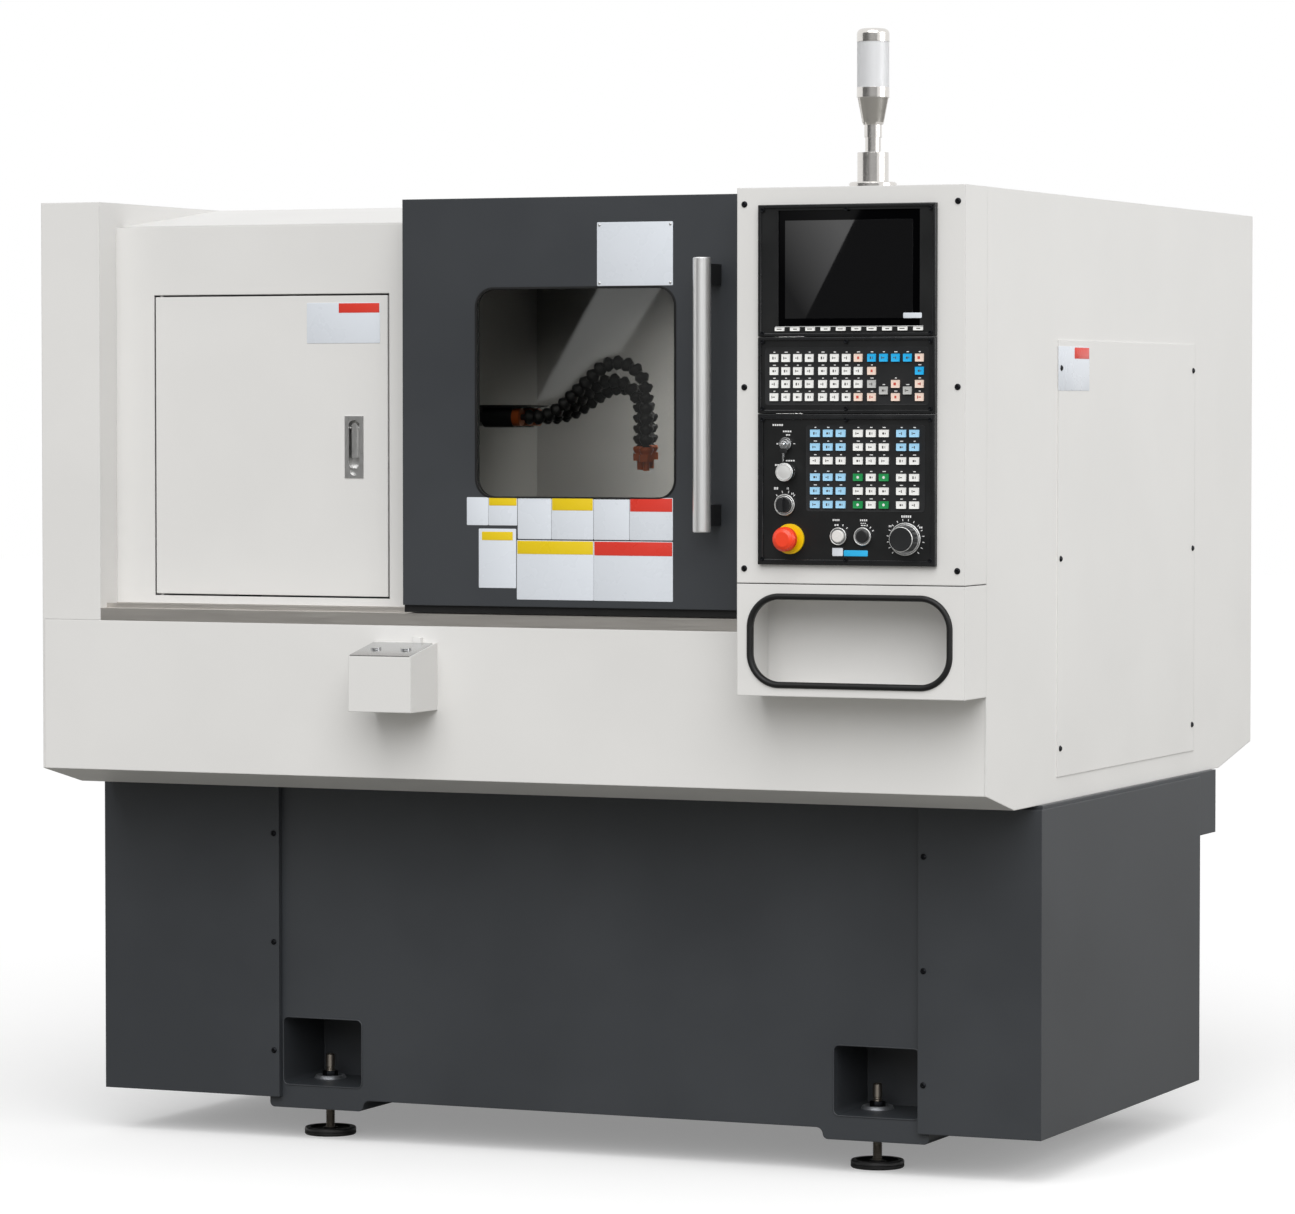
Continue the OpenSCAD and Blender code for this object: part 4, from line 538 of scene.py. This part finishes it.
# Rounded rails round the three console units, which also close the seams between them: smooth and half glossy
rails = [
    rail((UNIT_X - 0.2, UNIT_X + 300.2), (FACE_Y - 3, FACE_Y + 0.6), z, w, 1.5)
    for z, w in (((1021.8, 1261.5), 9), ((1262, 1383), 5.5), ((1383.5, 1592.2), 5.5))
]
rail_abs = moulded("abs_rail_black_satin", "#131416", 0.27, 1.6, 0.02)
settle(join(rails), "console_rails", rail_abs, "machine")

# Socket screws that hold the three console units
head = disc(0, FACE_Y - 2.8, 0, 3.4, 1.6, front=True, sides=24)
pick(head, lambda at, way: way.y < -0.9)
bpy.ops.mesh.inset(thickness=0.0014)
bpy.ops.mesh.extrude_region_move(TRANSFORM_OT_translate={"value": (0, 0.0012, 0)})
bpy.ops.object.mode_set(mode="OBJECT")
soften(head, 0.25, 1)
screws = repeat(head, [
    (UNIT_X + x, 0, z)
    for x in (8, 150, 292)
    for z in (OPERATOR_Z + 9, OPERATOR_Z + 230, KEYPAD_Z + 7, KEYPAD_Z + 113, SCREEN_Z + 4.5, SCREEN_Z + 200)
    if not (x == 150 and z == SCREEN_Z + 4.5)
])
settle(screws, "console_screws", screw_black, "machine")

# The display's picture area on the cover glass: a dark film, as smooth as a mirror
display = soften(block((555, 771), (-105.7, -105.4), (1412, 1567)), 0.1, 1)
display_off, tree = blank("display_film_switched_off")
place = add(tree, "ShaderNodeTexCoord").outputs["Object"]
grid = add(tree, "ShaderNodeTexNoise", {"Vector": place, "Scale": 1000 / 30, "Detail": 3})
gloss = add(tree, "ShaderNodeMapRange", {"Value": grid.outputs[0], "To Min": 0.008, "To Max": 0.02})
skin = add(tree, "ShaderNodeBsdfPrincipled", {
    "Base Color": colour("#131314"), "Roughness": gloss.outputs[0], "IOR": 1.5,
})
add(tree, "ShaderNodeOutputMaterial", {"Surface": skin.outputs[0]})
settle(display, "display_area", display_off, "machine")


# ---------------------------------------------------------------- ticks, legends and rings round the controls

def bead(x, z, r, w, out):
    """A bright ring that stands on a control's front, out mm before the console's face."""
    centre = spot(x, FACE_Y - out, z)
    bpy.ops.object.select_all(action="DESELECT")
    bpy.ops.mesh.primitive_torus_add(
        location=centre, rotation=(math.pi / 2, 0, 0), major_radius=r / 1000, minor_radius=w / 2000,
        major_segments=56, minor_segments=10,
    )
    bpy.ops.object.transform_apply(location=True, rotation=True, scale=True)
    bpy.ops.object.mode_set(mode="EDIT")
    bpy.ops.mesh.select_all(action="SELECT")
    bpy.ops.transform.resize(value=(1, 1.3, 1), center_override=centre)
    bpy.ops.object.mode_set(mode="OBJECT")
    return bpy.context.object


def ticks(x, z, r, l, turns, w=1.2):
    """Printed ticks l long round a control, r from its middle, one at each turn in degrees."""
    tick = soften(block((x - w / 2, x + w / 2), (FACE_Y - 0.1, FACE_Y + 0.1), (z + r, z + r + l)), 0.05, 1)
    return repeat(tick, None, turns, (x, FACE_Y, z))


KNOB, SELECTOR, KEY_SWITCH, WHITE_BUTTON, BLACK_BUTTON, SILVER_BUTTON = (
    (UNIT_X + x, OPERATOR_Z + z)
    for x, z in ((250, 42.5), (46.5, 95), (48, 192), (138, 46), (179, 46), (50.5, 147))
)
prints = [
    ticks(*KNOB, 28.5, 3.5, range(-135, 136, 18)),
    ticks(*SELECTOR, 19, 4, (-45, -15, 15, 45)),
    ticks(*KEY_SWITCH, 12, 3, (0, 90)),
    ticks(*BLACK_BUTTON, 17, 3, (20, 40, 60), 1.6),
    ticks(*WHITE_BUTTON, 17, 3, (20, 45), 1.6),
]
# Short broken bars stand for the legends beside the controls
for x, z, w, h in (
    (543.7, 1243.5, 18.8, 3), (559.7, 1233.4, 15.4, 2.6), (561.4, 1227.8, 7.7, 2), (643.2, 1093.5, 12.6, 3),
    (644, 1085.6, 7.7, 2.6), (689.8, 1093.5, 13, 3), (689.3, 1088.7, 10, 1.5), (689.3, 1085.4, 9, 1.5),
    (761.5, 1100, 17.6, 3.6), (734.5, 1084.5, 5.5, 3), (786, 1083, 6, 3), (542.5, 1180, 8, 3), (565.2, 1187, 16, 2.4),
    (541, 1143, 8, 4), (561, 1143, 4.5, 3.4), (569, 1134.7, 5, 3),
):
    bars = max(2, round(w / 3.6))
    step = w / bars
    moves = [(x + (i + 0.5 - bars / 2) * step, 0, z) for i in range(bars)]
    prints.append(repeat(stroke(step - 1, h, FACE_Y - 0.2), moves))
# A thin line runs through the row of soft keys
prints.append(repeat(stroke(250, 0.7, FACE_Y - 0.2), [(UNIT_X + 154, 0, SCREEN_Z + 15.2)]))
settle(join(prints), "dial_ticks", print_white, "machine")

# Bead-blasted aluminium: pale and soft, with no mirror in it
cap_metal = drawn_metal("aluminium_bead_blasted", "#F0F0EF", 0.52, (1.5, 1.5, 1.5))
beads = [
    bead(*at, r, w, out)
    for at, r, w, out in (
        (SELECTOR, 16.3, 1.7, 4.2), (SELECTOR, 13.2, 1.3, 4.2), (WHITE_BUTTON, 13.2, 1.4, 5.2),
        (BLACK_BUTTON, 13.5, 1.9, 5.2), (KNOB, 25.2, 1.5, 3.2), (KNOB, 22.6, 1.2, 3.2),
    )
]
settle(join(beads), "bezel_beads", cap_metal, "machine")
settle(bead(*KNOB, 19, 1.5, 21.5), "override_bead", cap_metal, "override")
settle(bead(*SILVER_BUTTON, 13.9, 1.4, 16), "silver_bead", cap_metal, "silver_button")
cap = disc(SILVER_BUTTON[0], FACE_Y - 16.9, SILVER_BUTTON[1], 12.6, 0.7, front=True, sides=56)
settle(soften(dish(cap, 2.2, 0.4), 0.15), "silver_cap", cap_metal, "silver_button")

# A second key hangs from the one in the switch, on a split ring that the turning key clears
hanger = bead(UNIT_X + 48, OPERATOR_Z + 189.8, 6, 1.2, 12.6)
blade = block((556.2, 560.2), (FACE_Y - 13.3, FACE_Y - 12), (1185.5, 1200))
pick(blade, lambda at, way: way.z < -0.9)
bpy.ops.transform.resize(value=(0.45, 1, 1), center_override=spot(557.4, FACE_Y - 12.6, 1185.5))
bpy.ops.object.mode_set(mode="OBJECT")
settle(join([hanger, soften(blade, 0.25, 1)]), "spare_key", bezel_chrome, "machine")
grip = round_corners(block((552.5, 564.5), (FACE_Y - 13.9, FACE_Y - 11.3), (1199, 1206.4)), 2.2, 4)
settle(soften(grip, 0.3), "spare_key_grip", black_abs, "machine")


# ---------------------------------------------------------------- bare plates

# Printed polyester film: flat clear colour under a smooth, even gloss
film_pale = moulded("polyester_film_pale", "#DDE2E9", 0.28, 3.0, 0.01)
film_yellow = moulded("polyester_film_yellow", "#E9C90E", 0.30, 3.0, 0.01)
film_red = moulded("polyester_film_red", "#DE3A2C", 0.30, 3.0, 0.01)
film_cyan = moulded("polyester_film_cyan", "#2DB8F0", 0.30, 3.0, 0.01)


def plate(x, y, z, front=True, corner=1.5):
    """A thin plate with rounded corners and a soft edge, that faces the front or the right."""
    return dish(round_corners(block(x, y, z), corner, 3, 1 if front else 0), 0.3, -0.1, front)


# On the door, plates stand between its face and PLATE_Y, and their coloured heads between PLATE_Y and HEAD_Y
DOOR_Y, PLATE_Y, HEAD_Y = -9.9, -10.5, -10.75
HEAD_CORNER = 0.8
door_plates = [
    ((186.6, 321), (1469, 1572.5)), ((-48.4, -9.4), (1077.5, 1123.5)), ((-9, 43), (1077.5, 1123.5)),
    ((44, 104.5), (1055.5, 1124)), ((105, 180), (1055.5, 1124)), ((180.6, 244), (1055.5, 1124.5)),
    ((244.5, 321), (1055.5, 1124.5)), ((-26.7, 41), (974.4, 1072)), ((42.3, 180.4), (956, 1053.5)),
    ((180.8, 321), (956, 1053.5)),
]
pale = [plate(x, (PLATE_Y, DOOR_Y), z) for x, z in door_plates]
settle(join(pale), "door_plates", film_pale, "door")
rivet = dish(disc(0, PLATE_Y, 0, 2.2, 0.9, front=True, sides=20), 0.9, -0.4)
rivets = repeat(soften(rivet, 0.2, 1), [(x, 0, z) for x in (191, 316.6) for z in (1473.5, 1568)])
settle(rivets, "door_plate_rivets", zinc_plated, "door")
yellow = [
    plate(x, (HEAD_Y, PLATE_Y), z, corner=HEAD_CORNER)
    for x, z in (
        ((-8, 42), (1110, 1122.5)), ((106, 179), (1103, 1123)), ((-21, 35), (1053, 1067)),
        ((43.3, 179.4), (1031, 1052.5)),
    )
]
settle(join(yellow), "door_plate_heads_yellow", film_yellow, "door")
red = [
    plate(x, (HEAD_Y, PLATE_Y), z, corner=HEAD_CORNER)
    for x, z in (((245.5, 320), (1102, 1123.5)), ((181.8, 320), (1030, 1052.5)))
]
settle(join(red), "door_plate_heads_red", film_red, "door")
TAG_Y = (FACE_Y - 0.5, FACE_Y + 0.1)
for name, film, body, slot, x, y, z in (
    ("access_plate", film_pale, "access", "white_plastic", (-378, -241), (57.5, 58.1), (1379, 1447)),
    ("access_plate_head", film_red, "access", "red_plastic", (-318, -242), (57.25, 57.5), (1430, 1446)),
    ("side_plate", film_pale, "machine", "white_plastic", (858.9, 859.5), (340, 497), (1299, 1372)),
    ("side_plate_head", film_red, "machine", "red_plastic", (859.5, 859.75), (420, 495), (1352, 1370.5)),
    ("console_tag", film_pale, "machine", "white_plastic", (637, 655), TAG_Y, (1036.6, 1049.5)),
    ("console_strip", film_cyan, "machine", "panel_plastic", (656.4, 697), TAG_Y, (1036.6, 1046)),
    ("screen_tag", film_pale, "machine", "white_plastic", (756, 787), (FACE_Y - 0.5, FACE_Y + 2.6), (1411.5, 1420)),
):
    corner = HEAD_CORNER if name.endswith("head") else 1.5
    settle(plate(x, y, z, not name.startswith("side"), corner), name, film, body)


# ---------------------------------------------------------------- levelling feet

FEET_X, FEET_Y = (-485, 540), (350, 987)
# Worn zinc on the studs is warm and dull, fresh zinc on the washers cooler and paler; the pads are dense rubber
stud_zinc = drawn_metal("steel_stud_zinc_worn", "#A79F95", 0.40, (2, 2, 1))
washer_zinc = drawn_metal("steel_washer_zinc", "#C4C7CC", 0.45, (6, 6, 6))
pad_black = moulded("rubber_pad_moulded", "#141415", 0.45, 1.6, 0.05)


def round_up(x, y, steps, sides=40):
    """Turns a profile as a lathe hand would: a circle that is drawn up and sized step by step."""
    bpy.ops.object.select_all(action="DESELECT")
    r, z = steps[0]
    bpy.ops.mesh.primitive_circle_add(vertices=sides, radius=r / 1000, fill_type="NGON", location=spot(x, y, z))
    bpy.ops.object.transform_apply(location=True, rotation=True, scale=True)
    bpy.ops.object.mode_set(mode="EDIT")
    bpy.ops.mesh.select_all(action="SELECT")
    for r2, z2 in steps[1:]:
        bpy.ops.mesh.extrude_region_move(TRANSFORM_OT_translate={"value": (0, 0, (z2 - z) / 1000)})
        if abs(r2 - r) > 1e-6:
            bpy.ops.transform.resize(value=(r2 / r, r2 / r, 1), center_override=spot(x, y, z2))
        r, z = r2, z2
    bpy.ops.object.mode_set(mode="OBJECT")
    return bpy.context.object


x0, y0 = FEET_X[0], FEET_Y[0]
moves = [(x - x0, y - y0, 0) for x in FEET_X for y in FEET_Y]
pad = round_up(x0, y0, [
    (43, 0), (45, 2), (45, 5.2), (44.2, 5.8), (44.2, 6.4), (45, 7), (45, 11), (43.5, 13), (36, 13), (33, 10), (14, 9.6),
    (12.5, 12), (8.2, 12.4),
], 56)
settle(repeat(pad, moves), "feet_pads", pad_black, "machine")
# Rings stand for the thread, at a pitch of 3 mm: coarser than the real 2 mm, so that they show in the picture
PITCH = 3
thread = [(7.4, 11)]
for z in range(11, 113, PITCH):
    thread += [(8, z + 1.2), (8, z + 1.7), (7, z + 2.6), (7, z + PITCH)]
stud_end = [(8, 114.6), (8, 115.4), (6.5, 115.8), (6.5, 118), (8, 118.4), (8, 139), (6, 141)]
stud = round_up(x0, y0, thread + stud_end, 24)
settle(repeat(stud, moves), "feet_studs", stud_zinc, "machine")
washer = round_up(x0, y0, [
    (28, 98), (28, 99.3), (27.4, 99.8), (25.4, 103.6), (24.6, 104), (22.4, 104), (21.6, 103.6), (19, 101), (8.2, 101),
], 56)
settle(repeat(washer, moves), "feet_washers", washer_zinc, "machine")
nut = disc(x0, y0, 101, 13.8, 10, sides=6)
pick(nut, lambda at, way: abs(way.z) > 0.9)
bpy.ops.mesh.inset(thickness=0.0016)
bpy.ops.transform.resize(value=(1, 1, 1.09), center_override=spot(x0, y0, 106))
bpy.ops.object.mode_set(mode="OBJECT")
soften(nut, 0.5)
nuts = settle(repeat(nut, moves), "feet_nuts", screw_black, "machine")
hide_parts("levelling_feet")

# Rolled rim round each foot pocket in front
rims = [rail((x - 40.2, x + 114.2), (245.6, 249), (95.8, 216.2), 2.4, 0.9, 11) for x in FEET_X]
settle(join(rims), "foot_pocket_rims", charcoal_coat, "machine")


# ---------------------------------------------------------------- floor and light

bpy.ops.object.select_all(action="DESELECT")
bpy.ops.mesh.primitive_plane_add(size=60, location=(0, 0, 0))
floor = bpy.context.object
floor.name = "studio_floor"
# Matte paper: white where the lamps reach it, and it throws little light back up under the apron
floor_paper, tree = blank("paper_backdrop_white")
ray = add(tree, "ShaderNodeLightPath")
bounce = add(tree, "ShaderNodeBsdfDiffuse", {"Color": colour("#959490")})
matte = add(tree, "ShaderNodeBsdfDiffuse", {"Color": colour("#E4E4E4")})
glow = add(tree, "ShaderNodeEmission", {"Color": (1, 1, 1, 1), "Strength": 0.265})
lit = add(tree, "ShaderNodeAddShader", {0: matte.outputs[0], 1: glow.outputs[0]})
paper = add(tree, "ShaderNodeMixShader", {0: ray.outputs["Is Camera Ray"], 1: bounce.outputs[0], 2: lit.outputs[0]})
add(tree, "ShaderNodeOutputMaterial", {"Surface": paper.outputs[0]})
floor.data.materials.append(floor_paper)

world = bpy.data.worlds.new("studio")
world.use_nodes = True
tree = world.node_tree
tree.nodes.clear()
ray = add(tree, "ShaderNodeLightPath")
# The camera, mirrors and glass see a white backdrop; as a lamp it is only a weak fill
mirrored = add(tree, "ShaderNodeMath", {
    0: ray.outputs["Is Camera Ray"], 1: ray.outputs["Is Glossy Ray"],
}, operation="ADD")
seen = add(tree, "ShaderNodeMath", {
    0: mirrored.outputs[0], 1: ray.outputs["Is Transmission Ray"],
}, operation="ADD", use_clamp=True)
level = add(tree, "ShaderNodeMapRange", {"Value": seen.outputs[0], "To Min": 0.47, "To Max": 1.0})
sky = add(tree, "ShaderNodeBackground", {"Color": (1, 1, 1, 1), "Strength": level.outputs[0]})
add(tree, "ShaderNodeOutputWorld", {"Surface": sky.outputs[0]})
scene.world = world

# A broad light from above and in front, a softbox for the right side, and the lamp in the chamber's ceiling
for name, kind, place, aim, power, size, spread in (
    ("overhead", "SUN", (1.2, -3.8, 3.4), (0, 0, 0), 2.37, math.radians(60), 180),
    ("right_softbox", "AREA", (6.5, -0.5, 2.6), (0.8, 0.1, 1.0), 140, 3.5, 180),
    ("chamber_light", "AREA", spot(400, 300, 1540), spot(190, 644, 1110), 3.4, 0.15, 84),
):
    bpy.ops.object.light_add(type=kind, location=place)
    lamp = bpy.context.object
    lamp.name = name
    lamp.rotation_euler = (Vector(aim) - Vector(place)).to_track_quat("-Z", "Y").to_euler()
    lamp.data.energy = power
    if kind == "SUN":
        lamp.data.angle = size
    else:
        lamp.data.size = size
        lamp.data.spread = math.radians(spread)

# Studio cards that only mirrors see. The dim wall behind the camera gives round metal its dark middle between
# bright edges; the small cards lay slanting bands over the window and the display. Each card's light goes from
# one level to the other along a direction, between two places on it.
UP, ACROSS, TO_CORNER = (0, 0, 1), (1, 0, 0), (1.6, 0, 1)
CARD_Y = -3.144
for name, levels, along, ends, y, corners in (
    ("dim_wall", (0.16, 0.42), ACROSS, (-3.5, 1.5), -11.0, ((-16, 0.02), (13, 0.02), (13, 6.5), (-16, 6.5))),
    ("window_back", (0, 0.3), ACROSS, (-1.0, -0.8), -3.2, (
        (-1.28, 1.02), (-0.68, 1.02), (-0.68, 1.62), (-1.28, 1.62),
    )),
    ("window_band", (0.7, 1.3), UP, (1.28, 1.45), CARD_Y, (
        (-0.88, 1.60), (-0.735, 1.60), (-0.779, 1.522), (-0.870, 1.388), (-0.9015, 1.3834), (-0.9292, 1.3718),
        (-0.9708, 1.3356), (-1.0124, 1.2961), (-1.0688, 1.2809), (-0.924, 1.523),
    )),
    ("display_light", (0.2, 2.1), TO_CORNER, (0.87, 1.184), CARD_Y, (
        (-0.221, 1.72), (-0.393, 1.40), (-0.45, 1.40), (-0.45, 1.72),
    )),
    ("display_dark", (0.02, 0.02), UP, (0, 1), CARD_Y, (
        (-0.221, 1.72), (-0.393, 1.40), (-0.06, 1.40), (-0.06, 1.72),
    )),
):
    bpy.ops.object.select_all(action="DESELECT")
    bpy.ops.mesh.primitive_circle_add(vertices=len(corners), radius=1, fill_type="NGON", location=(0, 0, 0))
    card = bpy.context.object
    card.name = name
    for corner, (x, z) in zip(card.data.vertices, corners):
        corner.co = (x, y, z)
    card_paper, tree = blank(name + "_paper")
    place = add(tree, "ShaderNodeTexCoord").outputs["Object"]
    reach = add(tree, "ShaderNodeVectorMath", {0: place, 1: along}, operation="DOT_PRODUCT")
    level = add(tree, "ShaderNodeMapRange", {
        "Value": reach.outputs["Value"], "From Min": ends[0], "From Max": ends[1],
        "To Min": levels[0], "To Max": levels[1],
    })
    shine = add(tree, "ShaderNodeEmission", {"Color": (1, 1, 1, 1), "Strength": level.outputs[0]})
    add(tree, "ShaderNodeOutputMaterial", {"Surface": shine.outputs[0]})
    card.data.materials.append(card_paper)
    card.visible_camera = card.visible_diffuse = card.visible_transmission = card.visible_shadow = False
